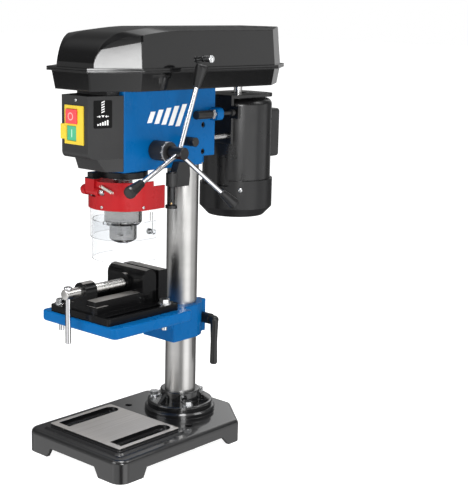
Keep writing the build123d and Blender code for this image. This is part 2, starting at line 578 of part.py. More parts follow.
def feed_shaft():
    teeth = [(FEED_Y + y, FEED_Z + z) for y, z in pinion_outline()]
    body = side_prism(teeth, -11.5, 11.5)
    body += xcyl(FEED_R, -HEAD_HALF - 14, -11, FEED_Y, FEED_Z)
    body += xcyl(FEED_R, 11, HUB_START, FEED_Y, FEED_Z)
    body += xcyl(4.9, HUB_START - 1, HUB_END - 3, FEED_Y, FEED_Z)
    return body


def rod_frame(index):
    """Places a piece built along +Z on the line of one feed rod."""
    swing = ROD_PHASE + 120 * index
    return Pos((HUB_START + HUB_END) / 2 + 2, FEED_Y, FEED_Z) * Rot(swing - 90, 0, 0) * Rot(0, ROD_TILT, 0)


def feed_hub():
    body = xcyl(HUB_R, HUB_START, HUB_END, FEED_Y, FEED_Z)
    body = chamfer(body.edges(), 0.8)
    body -= xcyl(4.9, HUB_START - 1, HUB_END - 3, FEED_Y, FEED_Z)
    for k in range(3):
        body -= rod_frame(k) * Pos(0, 0, 10) * Cylinder(ROD_R, 20)
    return body


def feed_rods():
    length = ROD_END - 5.4
    core = xcyl(5.3, HUB_START, HUB_END, FEED_Y, FEED_Z)
    rods = [rod_frame(k) * Pos(0, 0, 5.4 + length / 2) * Cylinder(ROD_R, length) - core for k in range(3)]
    return group(rods)


def feed_grips():
    profile = [(0, GRIP_START), (4.6, GRIP_START), (5.4, GRIP_START + 1), (8.4, GRIP_END - 4)]
    profile += [(7.6, GRIP_END - 1), (5.5, GRIP_END), (0, GRIP_END)]
    grip = turned(profile) - zcyl(ROD_R, GRIP_START - 1, ROD_END)
    grips = [rod_frame(k) * grip for k in range(3)]
    return group(grips)


def depth_ring():
    """The scale drum that turns on the feed shaft."""
    body = xcyl(13.6, HEAD_HALF + GAP, HUB_START - GAP, FEED_Y, FEED_Z)
    body = chamfer(body.edges(), 0.8)
    return body - xcyl(FEED_R + GAP, HEAD_HALF - 1, HUB_START + 1, FEED_Y, FEED_Z)


def return_spring_case():
    body = xcyl(21, -HEAD_HALF - 17, -HEAD_HALF, FEED_Y, FEED_Z)
    body = fillet(body.faces().sort_by(Axis.X)[0].edges(), 2)
    return body - xcyl(19, -HEAD_HALF - 15, -HEAD_HALF + 1, FEED_Y, FEED_Z)


def return_spring():
    """A flat spiral strip round the left end of the feed shaft."""
    turns, strip, steps = 4.5, 0.7, 90
    inner, growth = 8.2, 9.4
    edges = []
    for offset in (0, strip):
        line = []
        for k in range(steps + 1):
            angle = 2 * pi * turns * k / steps
            r = inner + growth * k / steps + offset
            line.append((FEED_Y + r * cos(angle), FEED_Z + r * sin(angle)))
        edges.append(line)
    return side_prism(edges[0] + edges[1][::-1], -HEAD_HALF - 13, -HEAD_HALF - 3)


# Drive ------------------------------------------------------------------


def groove_r(step_r):
    return step_r - 6


def stepped_pulley(steps, y, bore):
    """A cone pulley with one V groove in each step, largest step first from below."""
    outline = [(bore, PULLEY_BOTTOM)]
    for k, r in enumerate(steps):
        z = PULLEY_BOTTOM + k * STEP_H
        outline += [(r, z), (r, z + 1.2), (groove_r(r), z + 3.2), (groove_r(r), z + 6.6), (r, z + 8.6)]
        outline += [(r, z + STEP_H - 1)]
    outline += [(steps[-1], PULLEY_BOTTOM + 5 * STEP_H), (bore, PULLEY_BOTTOM + 5 * STEP_H)]
    return turned(outline, y=y)


def spindle_pulley():
    body = stepped_pulley(PULLEY_STEPS[::-1], SPINDLE_Y, SPINDLE_R + RUN)
    sleeve = zcyl(12, HEAD_TOP - 7, PULLEY_BOTTOM + 1, y=SPINDLE_Y)
    return body + (sleeve - zcyl(SPINDLE_R + RUN, HEAD_TOP - 9, PULLEY_BOTTOM + 2, y=SPINDLE_Y))


def motor_pulley():
    return stepped_pulley(PULLEY_STEPS, MOTOR_Y, SHAFT_R)


def pulley_bearing():
    ring = zcyl(17, HEAD_TOP - 7.5, HEAD_TOP, y=SPINDLE_Y)
    return ring - zcyl(12 + RUN, HEAD_TOP - 9, HEAD_TOP + 1, y=SPINDLE_Y)


def drive_belt():
    """The belt on the middle steps, which are the same size on both pulleys."""
    z = PULLEY_BOTTOM + 2 * STEP_H + 4.9
    inner, outer = groove_r(PULLEY_STEPS[2]) + GAP, PULLEY_STEPS[2]
    top_half, low_half = 3.2, 1.7
    section = [(inner, z - low_half), (outer, z - top_half), (outer, z + top_half), (inner, z + low_half)]
    face = make_face(Polyline(*[(r, 0, h) for r, h in section], close=True))
    back = Pos(0, MOTOR_Y, 0) * revolve(face, Axis.Z, 180)
    front = Pos(0, SPINDLE_Y, 0) * Rot(0, 0, 180) * revolve(face, Axis.Z, 180)
    run = extrude(Pos(0, SPINDLE_Y, 0) * face, MOTOR_Y - SPINDLE_Y, dir=(0, 1, 0))
    return back + front + mirrored(run)


def motor_body():
    y = MOTOR_Y
    body = turned([(0, MOTOR_BOTTOM), (MOTOR_R, MOTOR_BOTTOM), (MOTOR_R, MOTOR_TOP), (0, MOTOR_TOP)], y=y)
    body = fillet(body.faces().sort_by(Axis.Z)[-1].edges(), 9)
    body += zcyl(24, MOTOR_TOP - 1, MOTOR_TOP + 2, y=y)
    body -= zcyl(46, MOTOR_BOTTOM + 12, MOTOR_TOP - 14, y=y)
    return body - zcyl(SHAFT_R + RUN, MOTOR_BOTTOM - 1, MOTOR_TOP + 3, y=y)


def motor_fan_cover():
    y, r = MOTOR_Y, FAN_COVER_R
    outline = [(0, FAN_COVER_BOTTOM), (43, FAN_COVER_BOTTOM), (r, FAN_COVER_BOTTOM + 13), (r, 377)]
    outline += [(r - 3.5, 377), (r - 3.5, FAN_COVER_BOTTOM + 15), (42, FAN_COVER_BOTTOM + 2.5)]
    outline += [(0, FAN_COVER_BOTTOM + 2.5)]
    body = turned(outline, y=y)
    low_side = box(-70, 70, 0, 70, FAN_COVER_RIM, 378)
    body -= Pos(0, y, 0) * Rot(0, 0, 119) * low_side
    for ring_r, count in ((14, 6), (25, 10), (36, 14)):
        for k in range(count):
            slot = box(ring_r - 3.2, ring_r + 3.2, -1.6, 1.6, FAN_COVER_BOTTOM - 1, FAN_COVER_BOTTOM + 3)
            body -= Pos(0, y, 0) * Rot(0, 0, 360 * k / count) * slot
    return body


def motor_fan():
    hub = zcyl(11, 330, 347, y=MOTOR_Y)
    blade = box(9, 43, -1, 1, 331, 346)
    for k in range(8):
        hub += Pos(0, MOTOR_Y, 0) * Rot(0, 0, 45 * k) * blade
    return hub - zcyl(SHAFT_R, 329, 348, y=MOTOR_Y)


def motor_shaft():
    top = PULLEY_BOTTOM + 5 * STEP_H + 3
    body = zcyl(SHAFT_R, 328, top, y=MOTOR_Y)
    return body + zcyl(26, MOTOR_BOTTOM + 30, MOTOR_TOP - 32, y=MOTOR_Y)


def capacitor_box():
    body = box(-26, 26, MOTOR_Y + 40, MOTOR_Y + 70, 406, 480)
    body = fillet(body.edges().filter_by(Axis.Y), 5)
    body = fillet(body.faces().sort_by(Axis.Y)[-1].edges(), 2)
    return body - zcyl(MOTOR_R, 400, 490, y=MOTOR_Y)


def motor_plate():
    front, low, high = 128.5, 434, 505
    top = box(-40, 40, front, MOTOR_Y + 50, MOTOR_TOP + 2, high)
    top = fillet(top.edges().filter_by(Axis.Z).sort_by(Axis.Y)[-2:], 26)
    flange = box(-40, 40, front, front + 5, low, high)
    ear = box(38, TENSION_X + 7, front, front + 5, TENSION_Z - 9, TENSION_Z + 9)
    body = top + flange + ear
    body -= zcyl(12, MOTOR_TOP, high + 1, y=MOTOR_Y)
    for x, y in ((-28, 150), (28, 150), (-26, 222), (26, 222)):
        body -= zcyl(4, MOTOR_TOP, high + 1, x=x, y=y)
    for side in (-1, 1):
        body += side_prism([(front + 4, low + 20), (front + 4, high - 5), (front + 6.5, high - 5)],
                           min(side * 38, side * 34), max(side * 38, side * 34))
    return body


def motor_slide_rods():
    rods = [ycyl(SLIDE_ROD_R, 21, 128.5, side * SLIDE_ROD_X, SLIDE_ROD_Z) for side in (-1, 1)]
    return group(rods)


def belt_tension_screw():
    knob = ycyl(6, 47, 80, TENSION_X, TENSION_Z)
    flutes = [Rot(0, 60 * k, 0) * Pos(6.6, 0, 0) for k in range(6)]
    for place in flutes:
        knob -= Pos(TENSION_X, 63, TENSION_Z) * place * Rot(90, 0, 0) * Cylinder(1.3, 26)
    knob += ycyl(3, 79, 128.5 - GAP, TENSION_X, TENSION_Z)
    nut = Pos(TENSION_X, 83, TENSION_Z) * Rot(90, 0, 0) * extrude(RegularPolygon(6.5, 6, major_radius=False), 5)
    knob += nut
    return knob + ycyl(5, 119, 125, TENSION_X, TENSION_Z)


def belt_lock_knob():
    knob = xcyl(6.5, HEAD_HALF + GAP, 63, LOCK_Y, SLIDE_ROD_Z)
    knob = chamfer(knob.faces().sort_by(Axis.X)[-1].edges(), 1)
    groove = xcyl(7, 54, 55.5, LOCK_Y, SLIDE_ROD_Z) - xcyl(5.5, 53, 56, LOCK_Y, SLIDE_ROD_Z)
    return knob - groove + xcyl(3, SLIDE_ROD_X + SLIDE_ROD_R + GAP, 42, LOCK_Y, SLIDE_ROD_Z)


# Belt cover -------------------------------------------------------------


def cover_tray():
    body = cover_loft(TRAY_BOTTOM, 5, RIM_Z, 0.5)
    body -= cover_loft(TRAY_BOTTOM + COVER_WALL, 5 + COVER_WALL, RIM_Z + 1, COVER_WALL + 0.5)
    body += cover_loft(RIM_Z - RIM_T, -5, RIM_Z, -5) - cover_loft(RIM_Z - RIM_T - 1, 3, RIM_Z + 1, 3)
    body += hinge_knuckles(0)
    body += box(COVER_HALF - 6, COVER_HALF - 0.6, -66, -35, 539, 542)
    body += box(COVER_HALF - 7, COVER_HALF - 1.4, -54, -47, 529, 540)
    body -= zcyl(15, TRAY_BOTTOM - 1, TRAY_BOTTOM + 4, y=SPINDLE_Y)
    body -= box(-24, 24, MOTOR_Y - 44, MOTOR_Y + 20, TRAY_BOTTOM - 1, TRAY_BOTTOM + 4)
    return body


def hinge_knuckles(first):
    """Every second knuckle along the left side of the cover, from the tray or the lid."""
    shapes = None
    length = 12
    for start in (-30, 120):
        for k in range(first, 4, 2):
            y0 = start + k * (length + GAP)
            knuckle = ycyl(HINGE_KNUCKLE_R, y0, y0 + length, HINGE_X, HINGE_Z)
            low, high = (RIM_Z - RIM_T, RIM_Z) if first == 0 else (RIM_Z + GAP, RIM_Z + GAP + RIM_T)
            knuckle += box(HINGE_X, -COVER_HALF, y0, y0 + length, low, high)
            knuckle -= ycyl(HINGE_PIN_R + RUN, y0 - 1, y0 + length + 1, HINGE_X, HINGE_Z)
            shapes = knuckle if shapes is None else shapes + knuckle
    return shapes


def lid_hinge_pins():
    pins = [ycyl(HINGE_PIN_R, s - 1, s + 50, HINGE_X, HINGE_Z) for s in (-30, 120)]
    return group(pins)


def lid_profile(base, shift):
    """The lid in side view: arcs over the nose, a nearly level roof and a round tail."""
    start, crest = (LID_FRONT + shift, 549), (-112.1 + shift / 2, 586.5 - shift)
    rise = ThreePointArc(start, (-125.9 + shift * 0.75, 575 - shift * 0.7), crest)
    ease = TangentArc(crest, (-85.6, 595.5 - shift), tangent=rise % 1)
    level = TangentArc(ease @ 1, (-16, 602 - shift), tangent=ease % 1)
    tail = (COVER_BACK - 2 - shift, COVER_TOP - LID_TAIL_R - shift)
    roof = Line(level @ 1, (tail[0] - LID_TAIL_R, COVER_TOP - shift))
    bend = RadiusArc(roof @ 1, tail, LID_TAIL_R)
    rest = Polyline(tail, (COVER_BACK - shift, base), (LID_FRONT + shift, base), start)
    return make_face([rise, ease, level, roof, bend, rest])


def lid_form(inset):
    """Leaning walls under a roof that falls away to each side, drawn in by inset all over."""
    low = RIM_Z + GAP
    walls = cover_loft(low, inset + 0.5, COVER_TOP + 6, inset + 6, LID_SETBACK)
    profile = lid_profile(low - 12, inset)
    middle = extrude(Plane.YZ * profile, LID_CROWN_X, both=True)
    side = extrude(Plane.YZ.offset(LID_CROWN_X) * profile, 45, taper=LID_CROWN_ANGLE)
    return walls & (middle + mirrored(side))


def cover_lid():
    body = lid_form(0) - lid_form(COVER_WALL)
    rim = cover_loft(RIM_Z + GAP, -5, RIM_Z + GAP + RIM_T, -5)
    body += rim - cover_loft(RIM_Z, 3, RIM_Z + RIM_T + 1, 3)
    body += hinge_knuckles(1)
    for k in range(5):
        y = 100 + 24 * k
        body -= box(28, 62, y, y + 12, COVER_TOP - 1.2, COVER_TOP + 1)
    return body - xcyl(3.3, 60, 80, 32, 561)


def lid_screw():
    """The captive screw that holds the lid shut, in its sleeve."""
    sleeve = xcyl(4.2, COVER_HALF, 85, 32, 561)
    head = chamfer(xcyl(5.2, 85, 88.5, 32, 561).edges(), 0.7)
    shank = xcyl(3, 64, COVER_HALF, 32, 561)
    slot = box(87.3, 89, 31.3, 32.7, 555, 567)
    return sleeve + head + shank - slot


# Guard and marking lights -----------------------------------------------


def guard_collar():
    """The ring on the nose of the head, and the block that holds the guard's hinge."""
    y = SPINDLE_Y
    body = zcyl(34, NOSE_BOTTOM + 1, NOSE_BOTTOM + 9, y=y)
    body -= zcyl(NOSE_R, NOSE_BOTTOM, NOSE_BOTTOM + 10, y=y)
    front = y - NOSE_R - 3
    arm = box(-19, -9, GUARD_HINGE_Y - 4, front, NOSE_BOTTOM + 1, NOSE_BOTTOM + 9)
    block = box(-22, -4, GUARD_HINGE_Y - 6, GUARD_HINGE_Y + 6, GUARD_HINGE_Z, NOSE_BOTTOM + 2)
    body += arm + block + xcyl(6, -22, -4, GUARD_HINGE_Y, GUARD_HINGE_Z)
    return body - xcyl(GUARD_PIN_R + RUN, -23, -3, GUARD_HINGE_Y, GUARD_HINGE_Z)


def guard_pin():
    pin = xcyl(GUARD_PIN_R, -31, 4, GUARD_HINGE_Y, GUARD_HINGE_Z)
    head = xcyl(4.6, 4, 6.5, GUARD_HINGE_Y, GUARD_HINGE_Z)
    nut = xcyl(4.2, -34, -31, GUARD_HINGE_Y, GUARD_HINGE_Z)
    return pin + head + nut


def guard_frame():
    low = u_wall(GUARD_R, GUARD_T, GUARD_LEG_END, GUARD_BOTTOM, GUARD_LEG_TOP)
    high = u_wall(GUARD_R, GUARD_T, -37, GUARD_LEG_TOP - 1, GUARD_TOP)
    body = low + high
    for x0, x1 in ((-30, -22 - GAP), (-4 + GAP, 3.5)):
        body += xcyl(GUARD_HINGE_R, x0, x1, GUARD_HINGE_Y, GUARD_HINGE_Z)
        body += box(x0, x1, GUARD_HINGE_Y, SPINDLE_Y - 40, GUARD_HINGE_Z - 7, GUARD_HINGE_Z + 5)
    inside = zcyl(GUARD_R - GUARD_T - 0.1, 300, 400, y=SPINDLE_Y)
    body -= inside & box(-60, 60, -94, 0, 300, 400)
    body -= box(-22 - GAP, -4 + GAP, -110, -80, GUARD_HINGE_Z - 8, GUARD_TOP + 5)
    body -= xcyl(5.2, 4, 12, GUARD_HINGE_Y, GUARD_HINGE_Z)
    return body - xcyl(GUARD_PIN_R, -32, 5, GUARD_HINGE_Y, GUARD_HINGE_Z)


def guard_shield_upper():
    outer = GUARD_R - GUARD_T - 0.1
    body = u_wall(outer, SHIELD_T, SHIELD_END, 316, 371)
    slot = box(outer - 4, outer + 4, WING_Y - 2.2, WING_Y + 2.2, WING_Z - 2.2, WING_Z + 27)
    return body - mirrored(slot)


def guard_shield_lower():
    outer = GUARD_R - GUARD_T - 0.1 - SHIELD_T - GAP
    body = u_wall(outer, SHIELD_T, SHIELD_END, 285, 340)
    return body - xcyl(1.8, -60, 60, WING_Y, WING_Z)


def wing_screws():
    inner = GUARD_R - GUARD_T - 2 * SHIELD_T - 0.4
    outer = GUARD_R - GUARD_T - 0.1
    shank = xcyl(1.8, inner - 3, outer + GAP + 1, WING_Y, WING_Z)
    nut = xcyl(4, inner - 3, inner, WING_Y, WING_Z) - xcyl(1.7, inner - 4, inner - 2, WING_Y, WING_Z)
    wing = box(outer + GAP, outer + GAP + 2, WING_Y - 7, WING_Y + 7, WING_Z - 2.2, WING_Z + 2.2)
    hub = xcyl(3.4, outer + GAP, outer + GAP + 4, WING_Y, WING_Z)
    screw = shank + nut + wing + hub
    twin = mirror(screw, about=Plane.YZ)
    return group([screw, twin])


def guard_spring():
    """The tension spring on the outside of the guard, as a closed coil body with hooks."""
    start, end = (10, -99.8, 390.5), (26, -93.2, 383)
    dx, dy, dz = (b - a for a, b in zip(start, end))
    length = sqrt(dx * dx + dy * dy + dz * dz)
    plane = Plane(origin=start, z_dir=(dx, dy, dz))
    coil = plane * Pos(0, 0, length / 2) * Cylinder(2.1, length)
    hook = plane * Pos(0, 0, -1.8) * Rot(90, 0, 0) * Torus(2, 0.6)
    far = plane * Pos(0, 0, length + 1.8) * Rot(90, 0, 0) * Torus(2, 0.6)
    return coil + hook + far


def laser_brackets():
    """The arm on each side of the head that holds a marking light."""
    arm = side_prism([(4, 384), (30, 384), (32, 400), (30, 418), (10, 418), (4, 404)], HEAD_HALF, LASER_X + 4)
    socket = zcyl(8, 386, 404, x=LASER_X, y=LASER_Y)
    bridge = box(LASER_X - 5, LASER_X + 4, LASER_Y, 10, 388, 402)
    body = arm + socket + bridge
    body -= zcyl(LASER_R, 380, 410, x=LASER_X, y=LASER_Y)
    twin = mirror(body, about=Plane.YZ)
    return group([body, twin])


def laser_barrels():
    outline = [(0, LASER_BOTTOM), (4, LASER_BOTTOM), (4, LASER_BOTTOM + 1), (8.4, LASER_BOTTOM + 1)]
    outline += [(8.4, LASER_BOTTOM + 5), (LASER_R - 0.7, LASER_BOTTOM + 6), (LASER_R - 0.7, 384)]
    outline += [(LASER_R, 386), (LASER_R, LASER_TOP), (0, LASER_TOP)]
    body = turned(outline, x=LASER_X, y=LASER_Y)
    twin = mirror(body, about=Plane.YZ)
    return group([body, twin])


PARTS = [
    base_casting, column_flange, flange_bolts, set_screws, column,
    table_casting, table_clamp_stud, table_clamp_lever,
    vice_base, vice_jaw, vice_screw, vice_handle, vice_bolts,
    head_housing, switch_box, switch_plate, stop_button, start_button, cable_gland,
    quill, quill_bearings, spindle, chuck_body, chuck_sleeve,
    feed_shaft, feed_hub, feed_rods, feed_grips, depth_ring, return_spring_case, return_spring,
    spindle_pulley, motor_pulley, pulley_bearing, drive_belt,
    motor_body, motor_fan_cover, motor_fan, motor_shaft, capacitor_box, motor_plate, motor_slide_rods,
    belt_tension_screw, belt_lock_knob,
    cover_tray, cover_lid, lid_hinge_pins, lid_screw,
    guard_collar, guard_pin, guard_frame, guard_shield_upper, guard_shield_lower, wing_screws,
    guard_spring, laser_brackets, laser_barrels,
]

os.makedirs("parts", exist_ok=True)
to_origin = Pos(0, -BENCH_HOLE_Y, 0)
for make in PARTS:
    export_step(to_origin * make(), f"parts/{make.__name__}.step")
for index in range(3):
    export_step(to_origin * chuck_jaw(index), f"parts/chuck_jaw_{index + 1}.step")
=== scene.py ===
import json
from math import cos, pi, radians, sin

import bmesh
import bpy
from mathutils import Matrix, Vector


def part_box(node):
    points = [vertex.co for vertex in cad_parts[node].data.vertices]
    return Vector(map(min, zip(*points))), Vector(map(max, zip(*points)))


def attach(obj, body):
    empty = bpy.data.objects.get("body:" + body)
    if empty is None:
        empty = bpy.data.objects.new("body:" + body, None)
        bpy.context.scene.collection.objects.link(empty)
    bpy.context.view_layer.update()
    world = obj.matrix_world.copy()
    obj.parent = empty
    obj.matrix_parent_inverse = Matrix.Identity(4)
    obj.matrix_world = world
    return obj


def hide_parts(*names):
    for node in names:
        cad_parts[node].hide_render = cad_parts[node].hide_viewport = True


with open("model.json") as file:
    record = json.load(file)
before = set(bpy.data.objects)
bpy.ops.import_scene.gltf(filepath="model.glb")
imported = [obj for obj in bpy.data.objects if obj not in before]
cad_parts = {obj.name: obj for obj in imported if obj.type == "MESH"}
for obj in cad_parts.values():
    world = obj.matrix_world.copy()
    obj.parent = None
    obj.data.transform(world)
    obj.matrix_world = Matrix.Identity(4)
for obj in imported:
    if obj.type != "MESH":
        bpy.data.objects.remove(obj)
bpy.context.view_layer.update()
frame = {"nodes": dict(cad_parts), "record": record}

nodes = frame["nodes"]


# Colours, linear ---------------------------------------------------------

BLACK = (0.006, 0.006, 0.0065)
BLUE = (0.0005, 0.103, 0.315)
RED = (0.35, 0.006, 0.009)
STEEL = (0.56, 0.555, 0.55)
WHITE = (0.86, 0.86, 0.85)
GLOSS_BLACK = (0.004, 0.004, 0.0042)
CHUCK_GREY = (0.34, 0.335, 0.33)
EVEN = (1, 1, 1)  # a grain with no direction
FULL_TURN = 2 * pi
THREAD_PITCH = 0.0016


# Materials ---------------------------------------------------------------


def graph(tree, operation, *values):
    """A maths node on sockets or plain numbers."""
    made = tree.nodes.new("ShaderNodeMath")
    made.operation = operation
    for socket, value in zip(made.inputs, values):
        if isinstance(value, (int, float)):
            socket.default_value = value
        else:
            tree.links.new(value, socket)
    return made.outputs["Value"]


class Surface:
    """A Principled material whose colour, roughness and relief come from procedural nodes."""

    def __init__(self, name, metallic=0.0, coat=0.0, coat_roughness=0.08, edge=0.0, shine=0.5):
        self.material = bpy.data.materials.new(name)
        self.material.use_nodes = True
        self.tree = self.material.node_tree
        self.shader = self.tree.nodes["Principled BSDF"]
        self.shader.inputs["Metallic"].default_value = metallic
        self.shader.inputs["Specular IOR Level"].default_value = shine
        self.shader.inputs["Coat Weight"].default_value = coat
        self.shader.inputs["Coat Roughness"].default_value = coat_roughness
        self.place = self.node("ShaderNodeTexCoord").outputs["Object"]
        self.normal = None
        if edge:
            bevel = self.node("ShaderNodeBevel")
            bevel.samples = 4
            bevel.inputs["Radius"].default_value = edge
            self.normal = bevel.outputs["Normal"]
            self.link(self.normal, self.shader.inputs["Normal"])
            self.link(self.normal, self.shader.inputs["Coat Normal"])

    def node(self, kind, **settings):
        made = self.tree.nodes.new(kind)
        for key, value in settings.items():
            setattr(made, key, value)
        return made

    def link(self, source, target):
        self.tree.links.new(source, target)

    def mapped(self, stretch):
        """The place, scaled along each axis: (1, 1, 60) gives fine lines across Z."""
        mapping = self.node("ShaderNodeMapping")
        mapping.inputs["Scale"].default_value = stretch
        self.link(self.place, mapping.inputs["Vector"])
        return mapping.outputs["Vector"]

    def noise(self, scale, detail=3.0, stretch=(1, 1, 1), rough=0.55):
        noise = self.node("ShaderNodeTexNoise")
        noise.inputs["Scale"].default_value = scale
        noise.inputs["Detail"].default_value = detail
        noise.inputs["Roughness"].default_value = rough
        self.link(self.mapped(stretch), noise.inputs["Vector"])
        return noise.outputs["Fac"]

    def ramp(self, value, stops):
        """stops are (position, value or colour)."""
        ramp = self.node("ShaderNodeValToRGB")
        band = ramp.color_ramp
        while len(band.elements) < len(stops):
            band.elements.new(0.5)
        for element, (place, level) in zip(band.elements, stops):
            element.position = place
            element.color = (*level, 1) if isinstance(level, tuple) else (level, level, level, 1)
        self.link(value, ramp.inputs["Fac"])
        return ramp.outputs["Color"]

    def colour(self, low, high, scale=6.0, stretch=(1, 1, 1)):
        """A slow drift between two shades."""
        drift = self.ramp(self.noise(scale, 4.0, stretch), [(0.3, low), (0.7, high)])
        self.link(drift, self.shader.inputs["Base Color"])
        return drift

    def roughness(self, low, high, scale=40.0, stretch=(1, 1, 1)):
        self.link(self.ramp(self.noise(scale, 4.0, stretch), [(0.3, low), (0.7, high)]),
                  self.shader.inputs["Roughness"])

    def relief(self, height, depth, strength=1.0):
        """Bump from a height between 0 and 1, depth in metres."""
        bump = self.node("ShaderNodeBump")
        bump.inputs["Distance"].default_value = depth
        bump.inputs["Strength"].default_value = strength
        self.link(height, bump.inputs["Height"])
        if self.normal:
            self.link(self.normal, bump.inputs["Normal"])
        self.normal = bump.outputs["Normal"]
        self.link(self.normal, self.shader.inputs["Normal"])

    def axis(self, letter):
        """The X, Y or Z place in metres."""
        split = self.node("ShaderNodeSeparateXYZ")
        self.link(self.place, split.inputs["Vector"])
        return split.outputs[letter]

    def maths(self, operation, *values):
        return graph(self.tree, operation, *values)

    def above(self, letter, level, blur=0.0002):
        """1 where the place along an axis is past level, 0 before it."""
        past = self.maths("SUBTRACT", self.axis(letter), level - blur / 2)
        return self.maths("MULTIPLY", past, 1 / blur)

    def mix(self, factor, first, second, socket):
        blend = self.node("ShaderNodeMix", data_type="RGBA")
        blend.clamp_factor = True
        self.link(factor, blend.inputs[0])
        for target, value in ((blend.inputs[6], first), (blend.inputs[7], second)):
            if isinstance(value, tuple):
                target.default_value = (*value, 1)
            elif isinstance(value, (int, float)):
                target.default_value = (value, value, value, 1)
            else:
                self.link(value, target)
        self.link(blend.outputs[2], self.shader.inputs[socket])
        return blend.outputs[2]


def shade(colour, factor):
    return tuple(min(1.0, c * factor) for c in colour)


def enamel(name, colour, roughness=0.28, coat=0.5, edge=0.0009, texture=0.00002, shine=0.4):
    """Sprayed enamel on a casting: a slight drift of shade, soft ripples and a clear gloss."""
    surface = Surface(name, coat=coat, coat_roughness=0.08, edge=edge, shine=shine)
    surface.colour(shade(colour, 0.86), shade(colour, 1.12), 9.0)
    surface.roughness(roughness * 0.85, roughness * 1.25, 55.0)
    surface.relief(surface.noise(420.0, 3.0), texture)
    return surface


def moulded(name, colour, roughness=0.5, grain=0.00005, edge=0.0006, coat=0.0, shine=0.5):
    """Moulded plastic with a fine spark-eroded grain."""
    surface = Surface(name, coat=coat, edge=edge, shine=shine)
    surface.colour(shade(colour, 0.9), shade(colour, 1.12), 14.0)
    surface.roughness(roughness * 0.88, roughness * 1.12, 60.0)
    surface.relief(surface.noise(1500.0, 2.0), grain)
    return surface


def machined(name, colour=STEEL, low=0.2, high=0.3, stretch=(1, 1, 30), scale=60.0,
             depth=0.000004, edge=0.0):
    """Turned or ground metal: fine lines run across the direction that is stretched."""
    surface = Surface(name, metallic=1.0, edge=edge)
    surface.colour(shade(colour, 0.92), shade(colour, 1.06), 7.0, (1, 1, 4))
    surface.roughness(low, high, scale, stretch)
    surface.relief(surface.noise(scale * 3, 2.0, stretch), depth)
    return surface


def clear_plastic():
    surface = Surface("clear_guard")
    surface.shader.inputs["Transmission Weight"].default_value = 1.0
    surface.shader.inputs["IOR"].default_value = 1.16
    surface.colour((0.87, 0.88, 0.89), (0.9, 0.91, 0.92), 12.0)
    surface.roughness(0.0, 0.004, 30.0)
    return surface


def finishes():
    """One material for each of the record's slots."""
    return {
        "black_paint": enamel("black_enamel", BLACK, 0.22, 0.8, 0.0014),
        "blue_paint": enamel("blue_enamel", BLUE, 0.28, 0.04, 0.0012, shine=0.08),
        "red_paint": enamel("red_enamel", RED, 0.28, 0.12, 0.0006, shine=0.2),
        "motor_paint": enamel("motor_enamel", BLACK, 0.3, 0.2, 0.0012),
        "bare_steel": machined("ground_steel"),
        "zinc_steel": machined("zinc_plated", (0.7, 0.71, 0.72), 0.18, 0.34, EVEN, 80.0, 0.00001, 0.0004),
        "dark_steel": machined("blackened_steel", (0.05, 0.05, 0.052), 0.26, 0.42, EVEN, 70.0, 0.00001,
                               0.0004),
        "chrome_steel": machined("chrome", (0.72, 0.72, 0.74), 0.06, 0.14, (1, 1, 6), 60.0, 0.000003,
                                 0.0003),
        "pulley_alloy": machined("pulley_alloy", (0.6, 0.61, 0.62), 0.25, 0.4, (1, 1, 30), 40.0, 0.00001),
        "fan_plastic": moulded("fan_plastic", BLACK, 0.34, 0.00001, 0.0008, 0.0, 0.4),
        "black_plastic": moulded("black_plastic", (0.018, 0.018, 0.0185), 0.42, 0.00002, 0.0008, 0.0, 0.4),
        "cover_plastic": moulded("cover_plastic", GLOSS_BLACK, 0.1, 0.000002, 0.0025, 0.0, 0.45),
        "grip_plastic": moulded("grip_plastic", (0.008, 0.008, 0.0083), 0.3, 0.00001, 0.0006, 0.0, 0.45),
        "yellow_plastic": moulded("yellow_plastic", (0.72, 0.52, 0.03), 0.36, 0.00003, 0.0006),
        "red_plastic": moulded("red_plastic", (0.72, 0.06, 0.07), 0.34, 0.00003, 0.0006),
        "green_plastic": moulded("green_plastic", (0.06, 0.42, 0.22), 0.34, 0.00003, 0.0006),
        "clear_plastic": clear_plastic(),
        "belt_rubber": moulded("belt_rubber", (0.016, 0.016, 0.016), 0.7, 0.0001, 0.0005),
        "brass_light": machined("brass", (0.75, 0.52, 0.25), 0.2, 0.4, (1, 1, 40)),
        "vice_iron": vice_iron(),
    }


def vice_iron():
    """Satin black iron whose flat tops are ground bright."""
    surface = Surface("vice_iron", coat=0.18, coat_roughness=0.06, edge=0.0007, shine=0.15)
    surface.relief(surface.noise(240.0, 3.0), 0.00003)
    facing = surface.node("ShaderNodeNewGeometry")
    up = surface.node("ShaderNodeSeparateXYZ")
    surface.link(facing.outputs["True Normal"], up.inputs["Vector"])
    flange_height, upright = 0.02, 0.9
    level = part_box("vice_base")[0].z + flange_height
    flat_top = surface.maths("MULTIPLY", surface.maths("GREATER_THAN", up.outputs["Z"], upright),
                             surface.maths("GREATER_THAN", surface.axis("Z"), level))
    ground = [(0.3, (0.24, 0.23, 0.22)), (0.7, (0.36, 0.345, 0.33))]
    grain = surface.ramp(surface.noise(20.0, 4.0, (60, 1, 1)), ground)
    surface.mix(flat_top, shade(BLACK, 0.7), grain, "Base Color")
    surface.mix(flat_top, 0.26, 0.35, "Roughness")
    surface.mix(flat_top, 0.0, 0.4, "Metallic")
    return surface


def column_steel():
    """Ground tube: satin, with hardly any lines."""
    return machined("column_steel", (0.5, 0.495, 0.485), 0.3, 0.36, (1, 1, 8), 40.0, 0.000001)


